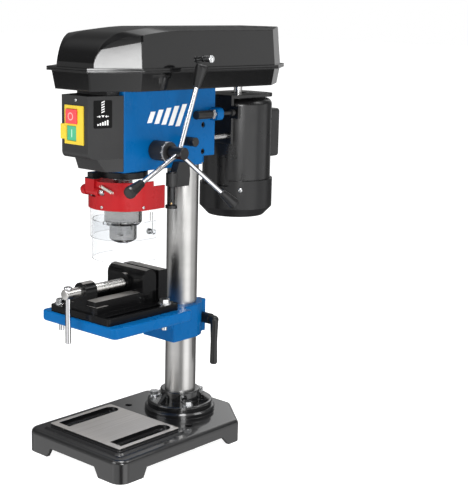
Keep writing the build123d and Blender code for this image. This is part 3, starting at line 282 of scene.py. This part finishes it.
def guard_red_paint_and_shade():
    """The guard's block is red; the ring above it that clamps on the nose is coloured black as painted
    shade for the shadow under the head.
    """
    surface = enamel("guard_block_red", RED, 0.3, 0.12, 0.0006, shine=0.2)
    ring_height = 0.0085
    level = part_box("guard_collar")[1].z - ring_height
    red = surface.ramp(surface.noise(9.0, 4.0), [(0.3, shade(RED, 0.88)), (0.7, shade(RED, 1.1))])
    # painted shade: above this level the red collar is coloured black for the shadow under the head
    surface.mix(surface.above("Z", level), red, shade(BLACK, 1.4), "Base Color")
    return surface


def tension_screw_finish():
    """Black knob with a bright jam nut behind it."""
    surface = moulded("tension_knob", (0.012, 0.012, 0.0125), 0.34, 0.00002, 0.0004, 0.0, 0.45)
    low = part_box("belt_tension_screw")[0].y
    shades = [(0.3, (0.01, 0.01, 0.0105)), (0.7, (0.016, 0.016, 0.0165))]
    black = surface.ramp(surface.noise(20.0, 4.0), shades)
    nut_start, nut_end = low + 0.0305, low + 0.0365
    not_past = surface.maths("SUBTRACT", 1.0, surface.above("Y", nut_end))
    nut = surface.maths("MULTIPLY", surface.above("Y", nut_start), not_past)
    surface.mix(nut, black, (0.68, 0.69, 0.7), "Base Color")
    surface.mix(nut, 0.0, 1.0, "Metallic")
    surface.mix(nut, 0.34, 0.22, "Roughness")
    return surface


def lid_finish():
    """Glossy black cover whose shoulder, above a line that rises to the back, is dull."""
    surface = moulded("lid_plastic", GLOSS_BLACK, 0.1, 0.000002, 0.0012, 0.0, 0.45)
    low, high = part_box("cover_lid")
    nose_y, line_z, slope = low.y + 0.014, high.z - 0.033, 0.24
    shoulder_length, roof_half = 0.055, 0.0372
    gloss, dull = 0.45, 0.04
    rise = surface.maths("MULTIPLY", surface.maths("SUBTRACT", surface.axis("Y"), nose_y), slope)
    over = surface.maths("SUBTRACT", surface.maths("SUBTRACT", surface.axis("Z"), line_z), rise)
    shoulder = surface.maths("MULTIPLY", surface.maths("GREATER_THAN", over, 0.0),
                             surface.maths("LESS_THAN", surface.axis("Y"), nose_y + shoulder_length))
    out = surface.maths("GREATER_THAN", surface.axis("X"), roof_half)
    surface.mix(surface.maths("MULTIPLY", shoulder, out), gloss, dull, "Specular IOR Level")
    return surface


def base_enamel():
    """Black gloss enamel, with the raised pad and the slots' edges machined bright."""
    surface = Surface("base_enamel", coat=0.8, coat_roughness=0.05, edge=0.0016, shine=0.4)
    pad_height, flange_gap = 0.0398, 0.02
    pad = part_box("base_casting")[0].z + pad_height
    top = surface.maths("GREATER_THAN", surface.axis("Z"), pad)
    in_front = surface.maths("LESS_THAN", surface.axis("Y"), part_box("column_flange")[0].y - flange_gap)
    bright = surface.maths("MULTIPLY", top, in_front)
    milled = [(0.3, (0.47, 0.44, 0.41)), (0.7, (0.62, 0.59, 0.56))]
    grain = surface.ramp(surface.noise(14.0, 4.0, (70, 1, 1)), milled)
    paint = surface.ramp(surface.noise(9.0, 4.0), [(0.3, shade(BLACK, 0.85)), (0.7, shade(BLACK, 1.2))])
    surface.mix(bright, paint, grain, "Base Color")
    surface.mix(bright, 0.3, 0.42, "Roughness")
    surface.mix(bright, 0.0, 0.5, "Metallic")
    surface.relief(surface.noise(420.0, 3.0), 0.00002)
    return surface


def chuck_steel():
    """Polished chuck with fine turning lines."""
    return machined("chuck_steel", CHUCK_GREY, 0.08, 0.15, (1, 1, 40), 30.0, 0.000004, 0.0003)


def chuck_teeth():
    """The chuck's sleeve, with the bevel teeth that its key turns shown round the lower edge by painted
    shade in the gaps between them.
    """
    surface = machined("chuck_sleeve_steel", CHUCK_GREY, 0.09, 0.16, (1, 1, 40), 30.0, 0.000004)
    low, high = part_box("chuck_sleeve")
    gap_count, gap_share, tooth_height = 34.0, 0.1, 0.0065
    split = surface.node("ShaderNodeSeparateXYZ")
    surface.link(surface.place, split.inputs["Vector"])
    angle = surface.maths("ARCTAN2", surface.maths("SUBTRACT", split.outputs["Y"], (low.y + high.y) / 2),
                          surface.maths("SUBTRACT", split.outputs["X"], (low.x + high.x) / 2))
    wave = surface.maths("SINE", surface.maths("MULTIPLY", angle, gap_count))
    between = surface.maths("GREATER_THAN", wave, gap_share)
    below = surface.maths("LESS_THAN", surface.axis("Z"), low.z + tooth_height)
    gap_shade = surface.maths("MULTIPLY", between, below)
    shades = [(0.3, (0.3, 0.295, 0.29)), (0.7, (0.38, 0.375, 0.37))]
    steel = surface.ramp(surface.noise(30.0, 4.0, (1, 1, 30)), shades)
    # painted shade: the gaps between the teeth are coloured near black for the shade in them
    surface.mix(gap_shade, steel, (0.035, 0.034, 0.033), "Base Color")
    return surface


def dress_nodes(made):
    """Gives every CAD node the finish of its slot, and a finish of its own where it has one."""
    own = {"base_casting": base_enamel(), "chuck_body": chuck_steel(), "chuck_sleeve": chuck_teeth(),
           "column": column_steel(), "cover_lid": lid_finish(), "guard_collar": guard_red_paint_and_shade(),
           "belt_tension_screw": tension_screw_finish()}
    slots = {part["node"]: part["material_slot"] for part in frame["record"]["subparts"]}
    for name, thing in nodes.items():
        surface = own.get(name) or made[slots[name]]
        thing.data.materials.clear()
        thing.data.materials.append(surface.material)


# Pieces made here --------------------------------------------------------


def add_mesh(name, mesh, surface, body, smooth=False):
    """Links a mesh as a piece that rides on a CAD body."""
    if smooth:
        mesh.shade_smooth()
    mesh.materials.append(surface.material)
    piece = bpy.data.objects.new(name, mesh)
    bpy.context.scene.collection.objects.link(piece)
    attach(piece, body)
    return piece


def around(steps):
    """Evenly spaced angles of a full turn."""
    return [FULL_TURN * k / steps for k in range(steps)]


def grid_mesh(name, rows):
    """A closed skin over rows of points, each row a ring."""
    mesh = bpy.data.meshes.new(name)
    points = [point for row in rows for point in row]
    width = len(rows[0])
    faces = []
    for j in range(len(rows) - 1):
        for i in range(width):
            k = (i + 1) % width
            faces.append((j * width + i, j * width + k, (j + 1) * width + k, (j + 1) * width + i))
    faces.append(tuple(reversed(range(width))))
    faces.append(tuple((len(rows) - 1) * width + i for i in range(width)))
    mesh.from_pydata(points, [], faces)
    tidy = bmesh.new()
    tidy.from_mesh(mesh)
    bmesh.ops.recalc_face_normals(tidy, faces=tidy.faces)
    tidy.to_mesh(mesh)
    tidy.free()
    return mesh


def tube_mesh(name, points, radius, sides=8):
    """A round wire along a line of points."""
    rows = []
    side = Vector((0, 0, 1))
    for k, point in enumerate(points):
        ahead = (points[min(k + 1, len(points) - 1)] - points[max(k - 1, 0)]).normalized()
        side = (side - ahead * side.dot(ahead)).normalized()
        across = ahead.cross(side)
        rows.append([point + (side * cos(a) + across * sin(a)) * radius for a in around(sides)])
    return grid_mesh(name, rows)


def plates_mesh(name, outlines, origin, right, up, thickness, bevel):
    """Flat raised shapes on a face: outlines are lists of (across, up) points in metres."""
    right, up = Vector(right).normalized(), Vector(up).normalized()
    out = right.cross(up)
    shapes = bmesh.new()
    for outline in outlines:
        corners = [shapes.verts.new(origin + right * x + up * y) for x, y in outline]
        face = shapes.faces.new(corners)
        grown = bmesh.ops.extrude_face_region(shapes, geom=[face])
        moved = [v for v in grown["geom"] if isinstance(v, bmesh.types.BMVert)]
        bmesh.ops.translate(shapes, verts=moved, vec=out * thickness)
        rim = [e for v in moved for e in v.link_edges if e.other_vert(v) in moved]
        bmesh.ops.bevel(shapes, geom=list(set(rim)), offset=bevel, segments=2, affect="EDGES")
    bmesh.ops.recalc_face_normals(shapes, faces=shapes.faces)
    mesh = bpy.data.meshes.new(name)
    shapes.to_mesh(mesh)
    shapes.free()
    return mesh


def rounded(width, height, radius, x=0.0, y=0.0, steps=6):
    """A rectangle with round corners, about (x, y)."""
    points = []
    for cx, cy, start in ((1, 1, 0), (-1, 1, 90), (-1, -1, 180), (1, -1, 270)):
        for k in range(steps + 1):
            angle = radians(start + 90 * k / steps)
            points.append((x + cx * (width / 2 - radius) + radius * cos(angle),
                           y + cy * (height / 2 - radius) + radius * sin(angle)))
    return points


def ring(outer, inner, x=0.0, y=0.0, steps=24):
    """A ring as a row of quads, so that each one is a simple outline."""
    quads = []
    for k in range(steps):
        a, b = FULL_TURN * k / steps, FULL_TURN * (k + 1) / steps
        corners = (outer, a), (outer, b), (inner, b), (inner, a)
        quads.append([(x + r * cos(t), y + r * sin(t)) for r, t in corners])
    return quads


def side_emblem():
    """A plain mark of slanted white bars on each side of the head."""
    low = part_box("head_housing")[0]
    count, bar, gap, height, lean = 5, 0.009, 0.0145, 0.03, 0.007
    bars = []
    for k in range(count):
        x = (k - 2) * gap
        share = 0.5 + 0.125 * k
        half, skew = height / 2 * share, lean * share
        bars.append([(x - bar / 2 - skew, -half), (x + bar / 2 - skew, -half),
                     (x + bar / 2 + skew, half), (x - bar / 2 + skew, half)])
    surface = moulded("mark_white", WHITE, 0.4, 0.00001, 0.0)
    wall = 0.0385
    middle_y, middle_z = low.y + 0.08, low.z + 0.084
    for side, name in ((1, "side_mark_right"), (-1, "side_mark_left")):
        centre = Vector((side * wall, middle_y, middle_z))
        mesh = plates_mesh(name, bars, centre, (0, side, 0), (0, 0, 1), 0.00025, 0.00008)
        add_mesh(name, mesh, surface, "frame")


def label_signs():
    """A twist drill that points down between two arrows, over a row of rising bars."""
    half, pitch, lift = 0.0024, 0.0032, 0.0018
    shapes = []
    for k in range(5):
        y = 0.0155 - pitch * k
        shapes.append([(-half, y - 0.0012), (half, y - 0.0012 + lift), (half, y + 0.0022),
                       (-half, y + 0.0022 - lift)])
    shapes.append([(-half, -0.0012), (0.0, -0.0042), (half, -0.0012)])
    tail, neck, tip = 0.0088, 0.0056, 0.0032
    for side in (-1, 1):
        shapes.append([(side * tail, -0.0032), (side * tail, -0.0024), (side * neck, -0.0024),
                       (side * neck, -0.0032)][::side])
        shapes.append([(side * neck, -0.0045), (side * neck, -0.0011), (side * tip, -0.0028)][::side])
    foot, width, step_up = -0.0145, 0.0022, 0.0012
    for k in range(5):
        x, top = -0.0085 + 0.0036 * k, -0.0125 + step_up * k
        shapes.append([(x, foot), (x + width, foot), (x + width, top), (x, top)])
    return shapes


def switch_label():
    """A dark label with plain signs, on the slanted side of the switch box."""
    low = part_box("switch_box")[0]
    along = Vector((0.0123, 0.0515, 0)).normalized()
    corner = Vector((0.026, low.y, 0))
    origin = corner + along * 0.0218 + Vector((0, 0, low.z + 0.0775))
    black = moulded("label_black", (0.002, 0.002, 0.002), 0.5, 0.00001, 0.0, 0.0, 0.15)
    white = moulded("label_white", WHITE, 0.45, 0.00001, 0.0)
    thickness = 0.0003
    outline = rounded(0.0275, 0.0365, 0.002)
    panel = plates_mesh("switch_label", [outline], origin, along, (0, 0, 1), thickness, 0.0001)
    add_mesh("switch_label", panel, black, "frame")
    lifted = origin + along.cross(Vector((0, 0, 1))) * thickness
    signs = plates_mesh("switch_label_signs", label_signs(), lifted, along, (0, 0, 1), 0.0001, 0.00002)
    add_mesh("switch_label_signs", signs, white, "frame")


def button_signs():
    """A ring on the stop button and a bar on the start button."""
    pale_red = moulded("sign_pale_red", (0.85, 0.4, 0.38), 0.4, 0.00001, 0.0)
    pale_green = moulded("sign_pale_green", (0.45, 0.75, 0.58), 0.4, 0.00001, 0.0)
    bar = [rounded(0.0016, 0.0105, 0.0006)]
    for button, name, outlines, surface, slot in (
            ("stop_button", "stop_sign", ring(0.0052, 0.0038), pale_red, "red_plastic"),
            ("start_button", "start_sign", bar, pale_green, "green_plastic")):
        low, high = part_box(button)
        centre = Vector(((low.x + high.x) / 2, low.y, (low.z + high.z) / 2))
        sign = plates_mesh(name, outlines, centre, (1, 0, 0), (0, 0, 1), 0.0002, 0.00003)
        add_mesh(name, sign, surface, button)


def screw_head(name, place, out, radius, surface, body, cross=True):
    """A domed screw head with a cross or a straight slot."""
    out = Vector(out).normalized()
    side = out.orthogonal().normalized()
    over = out.cross(side)
    rows = []
    for share, height in ((1.0, 0.0), (1.0, 0.28), (0.86, 0.5), (0.55, 0.64), (0.2, 0.68)):
        rows.append([place + out * (height * radius) + (side * cos(a) + over * sin(a)) * radius * share
                     for a in around(20)])
    add_mesh(name, grid_mesh(name, rows), surface, body, smooth=True)
    reach, half = radius * 0.62, radius * 0.2 / 2
    bars = [[(-reach, -half), (reach, -half), (reach, half), (-reach, half)]]
    if cross:
        bars.append([(y, x) for x, y in bars[0]][::-1])
    level = place + out * (0.56 * radius)
    # painted shade: the slot is a thin near-black raised bar standing in for the shaded recess
    slot_shade_mesh = plates_mesh(name + "_slot", bars, level, side, over, radius * 0.13, radius * 0.02)
    add_mesh(name + "_slot", slot_shade_mesh, FINISHES["grip_plastic"], body)


def small_screws():
    """The screws of the guard, of the switch box and of the motor's fan cover."""
    zinc = FINISHES["zinc_steel"]
    low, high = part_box("guard_frame")
    centre = Vector((0, high.y - 0.0335, 0))
    radius, level = 0.048, low.z + 0.0045
    for k, angle in enumerate((-80, -8)):
        out = Vector((cos(radians(angle)), sin(radians(angle)), 0))
        place = centre + out * radius + Vector((0, 0, level))
        screw_head(f"band_screw_{k + 1}", place, out, 0.0021, zinc, "guard")
    low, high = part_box("guard_pin")
    tip = Vector((high.x, (low.y + high.y) / 2, (low.z + high.z) / 2))
    screw_head("guard_pin_head", tip, (1, 0, 0), 0.0042, zinc, "guard", cross=False)
    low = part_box("switch_box")[0]
    place = Vector((0.0022, low.y, low.z + 0.095))
    screw_head("switch_screw", place, (0, -1, 0), 0.0022, zinc, "frame")
    low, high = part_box("motor_fan_cover")
    axis = Vector(((low.x + high.x) / 2, (low.y + high.y) / 2, 0))
    radius, level = 0.0555, low.z + 0.043
    for k, angle in enumerate((-42, 60, 180)):
        out = Vector((cos(radians(angle)), sin(radians(angle)), 0))
        place = axis + out * radius + Vector((0, 0, level))
        screw_head(f"fan_cover_screw_{k + 1}", place, out, 0.0034, zinc, "motor_carriage")


def coil_spring():
    """The guard's tension spring: close coils between two end loops."""
    low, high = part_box("guard_spring")
    hook = 0.0026
    start = Vector((low.x + hook, low.y + hook, high.z - hook))
    end = Vector((high.x - hook, high.y - hook, low.z + hook))
    along = (end - start).normalized()
    side = along.orthogonal().normalized()
    over = along.cross(side)
    coil, wire, pitch, loop_centre = 0.0019, 0.0004, 0.00085, 0.0013
    per_turn, loop_steps, loop_turn = 14, 16, 1.6 * pi
    body = (end - start).length - 2 * hook
    turns = body / pitch
    steps = int(turns * per_turn)
    points = []
    for k in range(loop_steps):
        angle = pi + loop_turn * k / (loop_steps - 1)
        points.append(start + along * (loop_centre + coil * cos(angle)) + side * (coil * sin(angle)))
    for k in range(steps + 1):
        angle = FULL_TURN * turns * k / steps
        ring_point = (side * cos(angle) + over * sin(angle)) * coil
        points.append(start + along * (hook + body * k / steps) + ring_point)
    for k in range(loop_steps):
        angle = 0.9 * pi + loop_turn * k / (loop_steps - 1)
        points.append(end - along * (loop_centre + coil * cos(angle)) - side * (coil * sin(angle)))
    pale = machined("spring_steel", (0.8, 0.78, 0.72), 0.25, 0.35, EVEN, 60.0)
    mesh = tube_mesh("tension_spring_coil", points, wire, 6)
    piece = add_mesh("tension_spring_coil", mesh, pale, "guard", smooth=True)
    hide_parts("guard_spring")


def vice_screw_radius(y, angle, ends, radii, rim):
    """The vice screw's radius: a head with a round rim, a thread, then a plain tip."""
    start, head_end, shaft_end = ends
    head_r, shaft_r, tip_r = radii
    depth = 0.00045
    if y < head_end:
        inset = min(y - start, head_end - y, rim)
        return head_r - rim + (rim ** 2 - (rim - inset) ** 2) ** 0.5
    if y < shaft_end:
        phase = (y / THREAD_PITCH - angle / FULL_TURN) % 1.0
        return shaft_r - depth * abs(2 * phase - 1)
    return tip_r


def threaded_vice_screw():
    """The vice screw, turned from bar, with a real thread between the boss and the jaw."""
    low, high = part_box("vice_screw")
    axis_z = (low.z + high.z) / 2
    head_length, tip_length, rim, gap = 0.0315, 0.019, 0.0015, 0.0001
    head_end, shaft_end = low.y + head_length, high.y - tip_length
    ends = low.y, head_end, shaft_end
    radii = (high.z - low.z) / 2, 0.0068, 0.0055
    thread_step = THREAD_PITCH / 8
    stations = [low.y + 0.0003 * k for k in range(6)]
    stations += [low.y + 0.004 + 0.004 * k for k in range(6)]
    stations += [head_end - rim + 0.0003 * k for k in range(6)]
    count = int((shaft_end - head_end) / thread_step)
    stations += [head_end + gap + (shaft_end - head_end - 2 * gap) * k / count for k in range(count + 1)]
    stations += [shaft_end + gap, high.y]
    rows = []
    for y in stations:
        row = []
        for angle in around(40):
            reach = vice_screw_radius(y, angle, ends, radii, rim)
            row.append(Vector((reach * cos(angle), y, axis_z + reach * sin(angle))))
        rows.append(row)
    bright = machined("vice_screw_steel", (0.62, 0.61, 0.59), 0.22, 0.36, (1, 20, 1), 60.0, 0.000004)
    mesh = grid_mesh("vice_screw_thread", rows)
    piece = add_mesh("vice_screw_thread", mesh, bright, "vice_screw", smooth=True)
    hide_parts("vice_screw")


def depth_scale():
    """White graduations round the depth ring, every fifth one long."""
    low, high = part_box("depth_ring")
    axis = Vector((0, (low.y + high.y) / 2, (low.z + high.z) / 2))
    radius = (high.z - low.z) / 2
    marks, half_width, edge = 50, 0.00022, 0.0015
    near, far = radius - 0.0001, radius + 0.00012
    x = high.x - edge
    sides = (0, 1, 2, 3), (7, 6, 5, 4), (0, 4, 5, 1), (1, 5, 6, 2), (2, 6, 7, 3), (3, 7, 4, 0)
    lines = bmesh.new()
    for k, angle in enumerate(around(marks)):
        length = 0.005 if k % 5 == 0 else 0.0028
        out = Vector((0, cos(angle), sin(angle)))
        side = Vector((0, -sin(angle), cos(angle))) * half_width
        corners = []
        for r in (near, far):
            for dx, s in ((0, -1), (0, 1), (-length, 1), (-length, -1)):
                corners.append(lines.verts.new(axis + out * r + side * s + Vector((x + dx, 0, 0))))
        for face in sides:
            lines.faces.new([corners[i] for i in face])
    bmesh.ops.recalc_face_normals(lines, faces=lines.faces)
    mesh = bpy.data.meshes.new("depth_scale")
    lines.to_mesh(mesh)
    lines.free()
    white = moulded("scale_white", WHITE, 0.45, 0.00001, 0.0)
    add_mesh("depth_scale", mesh, white, "depth_ring")


def light_axes():
    """The marking lights' axes: their distance to each side of the middle, their Y and their lower end."""
    low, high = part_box("laser_barrels")
    return high.x - 0.0084, (low.y + high.y) / 2, low.z


def light_focus_screws():
    """The small brass screw in the side of each marking light."""
    brass = FINISHES["brass_light"]
    reach, y, end = light_axes()
    wall, height = 0.0049, 0.0078
    for side, name in ((1, "light_screw_right"), (-1, "light_screw_left")):
        out = Vector((side * 0.66, -0.75, 0)).normalized()
        place = Vector((side * reach, y, end + height)) + out * wall
        screw_head(name, place, out, 0.0016, brass, "frame", cross=False)


def light_windows():
    """The red window in the end of each marking light."""
    glow = moulded("light_window", (0.35, 0.01, 0.01), 0.12, 0.000005, 0.0, 0.5)
    radius = 0.0035
    reach, y, end = light_axes()
    for side, name in ((1, "light_window_right"), (-1, "light_window_left")):
        place = Vector((side * reach, y, end))
        rows = []
        for share, drop in ((1.0, 0.0), (0.9, 0.00015), (0.5, 0.0003), (0.1, 0.00035)):
            rows.append([place + Vector((cos(a) * radius * share, sin(a) * radius * share, -drop))
                         for a in around(20)])
        add_mesh(name, grid_mesh(name, rows), glow, "frame", smooth=True)


# Stage -------------------------------------------------------------------


def floor():
    """A pale floor, lit a little from within so that it meets the white backdrop."""
    mesh = bpy.data.meshes.new("floor")
    half = 20.0
    mesh.from_pydata([(-half, -half, 0), (half, -half, 0), (half, half, 0), (-half, half, 0)], [],
                     [(0, 1, 2, 3)])
    plane = bpy.data.objects.new("floor", mesh)
    bpy.context.scene.collection.objects.link(plane)
    surface = Surface("floor_white")
    surface.colour((0.34, 0.34, 0.34), (0.36, 0.36, 0.36), 0.6)
    surface.roughness(0.7, 0.8, 3.0)
    surface.shader.inputs["Emission Color"].default_value = (1, 1, 1, 1)
    surface.shader.inputs["Emission Strength"].default_value = 0.95
    mesh.materials.append(surface.material)
    plane.visible_glossy = False


def softbox(name, place, aim, size, power):
    """A square studio light that points at a place on the machine."""
    light = bpy.data.lights.new(name, "AREA")
    light.shape = "RECTANGLE"
    light.size, light.size_y = size
    light.energy = power
    lamp = bpy.data.objects.new(name, light)
    bpy.context.scene.collection.objects.link(lamp)
    lamp.location = place
    lamp.rotation_euler = (Vector(aim) - Vector(place)).to_track_quat("-Z", "Y").to_euler()


def step(tree, value, dark, bright):
    """0 at dark and 1 at bright, with a smooth rise between."""
    ramp = tree.nodes.new("ShaderNodeMapRange")
    ramp.interpolation_type = "SMOOTHSTEP"
    ramp.inputs["From Min"].default_value = dark
    ramp.inputs["From Max"].default_value = bright
    tree.links.new(value, ramp.inputs["Value"])
    return ramp.outputs["Result"]


def lobe(tree, place, azimuth, inner, outer):
    """1 toward an azimuth and 0 away from it, between two half widths in degrees."""
    x, y, flat = place
    along_x = graph(tree, "MULTIPLY", x, cos(radians(azimuth)))
    along_y = graph(tree, "MULTIPLY", y, sin(radians(azimuth)))
    cosine = graph(tree, "DIVIDE", graph(tree, "ADD", along_x, along_y), flat)
    return step(tree, cosine, cos(radians(outer)), cos(radians(inner)))


def studio_brightness(tree):
    """Bright cards round a dark room, under a bright ceiling. Heights are sines of the elevation."""
    split = tree.nodes.new("ShaderNodeSeparateXYZ")
    tree.links.new(tree.nodes.new("ShaderNodeTexCoord").outputs["Generated"], split.inputs["Vector"])
    x, y, z = (split.outputs[k] for k in "XYZ")
    squares = graph(tree, "ADD", graph(tree, "MULTIPLY", x, x), graph(tree, "MULTIPLY", y, y))
    place = (x, y, graph(tree, "MAXIMUM", graph(tree, "SQRT", squares), 0.001))
    low_half = step(tree, z, 0.15, 0.12)
    near_level = graph(tree, "MULTIPLY", low_half, step(tree, z, -0.24, -0.18))
    near_floor = step(tree, z, -0.27, -0.32)
    raised = step(tree, z, 0.26, 0.3)
    # azimuth, inner and outer half width in degrees, brightness, heights
    cards = [(0, 12, 31, 1.8, low_half), (-88, 20, 42, 1.0, low_half), (48, 12, 24, 1.0, near_level),
             (-138, 14, 30, 0.4, near_level), (48, 14, 26, 0.9, near_floor),
             (-138, 14, 30, 0.9, near_floor), (118, 8, 22, 1.1, raised)]
    room, ceiling = 0.12, 0.7
    overhead = graph(tree, "MULTIPLY", step(tree, z, 0.55, 0.9), ceiling)
    total = graph(tree, "ADD", overhead, room)
    for azimuth, inner, outer, brightness, heights in cards:
        card = graph(tree, "MULTIPLY", lobe(tree, place, azimuth, inner, outer), brightness)
        total = graph(tree, "ADD", total, graph(tree, "MULTIPLY", card, heights))
    return total


def lights():
    """The studio: the room that the machine reflects, a white backdrop for the camera, and soft boxes."""
    world = bpy.data.worlds.new("studio")
    bpy.context.scene.world = world
    world.use_nodes = True
    tree = world.node_tree
    room = tree.nodes["Background"]
    room.inputs["Color"].default_value = (1, 1, 1, 1)
    tree.links.new(studio_brightness(tree), room.inputs["Strength"])
    backdrop = tree.nodes.new("ShaderNodeBackground")
    backdrop.inputs["Color"].default_value = (1, 1, 1, 1)
    seen = tree.nodes.new("ShaderNodeLightPath")
    chosen = tree.nodes.new("ShaderNodeMixShader")
    tree.links.new(seen.outputs["Is Camera Ray"], chosen.inputs[0])
    tree.links.new(room.outputs["Background"], chosen.inputs[1])
    tree.links.new(backdrop.outputs["Background"], chosen.inputs[2])
    tree.links.new(chosen.outputs["Shader"], tree.nodes["World Output"].inputs["Surface"])
    middle, lid_shoulder = (0, 0, 0.35), (0.056, -0.134, 0.565)
    softbox("key_light", (1.68, -1.1, 0.6), lid_shoulder, (0.5, 0.5), 17)
    softbox("fill_light", (-0.7, -2.0, 1.3), middle, (1.2, 1.2), 20)
    softbox("side_light", (1.5, 1.2, 2.0), middle, (0.8, 1.2), 14)
    softbox("top_light", (0.3, -0.2, 2.2), middle, (0.7, 1.0), 34)
    softbox("back_light", (-0.85, 2.0, 0.6), middle, (0.8, 1.2), 1.1)


def camera():
    """The viewpoint, from its heading, its tilt down and its roll."""
    heading, tilt, roll = radians(41.17), radians(11.72), radians(1.32)
    focal_over_height, sensor = 2.30966, 36
    right = Vector((cos(heading), sin(heading), 0))
    level = Vector((-sin(heading), cos(heading), 0))
    forward = level * cos(tilt) - Vector((0, 0, sin(tilt)))
    up = level * sin(tilt) + Vector((0, 0, cos(tilt)))
    across = right * cos(roll) + up * sin(roll)
    upward = up * cos(roll) - right * sin(roll)
    data = bpy.data.cameras.new("camera")
    data.sensor_width = sensor
    data.lens = focal_over_height * sensor
    made = bpy.data.objects.new("camera", data)
    bpy.context.scene.collection.objects.link(made)
    place = Matrix((across, upward, -forward)).transposed().to_4x4()
    place.translation = Vector((1.15767, -1.16025, 0.6263))
    made.matrix_world = place
    bpy.context.scene.camera = made


# The scene ---------------------------------------------------------------

bpy.context.scene.view_settings.view_transform = "Standard"
FINISHES = finishes()
dress_nodes(FINISHES)
side_emblem()
switch_label()
button_signs()
small_screws()
coil_spring()
threaded_vice_screw()
depth_scale()
light_windows()
light_focus_screws()
floor()
lights()
camera()
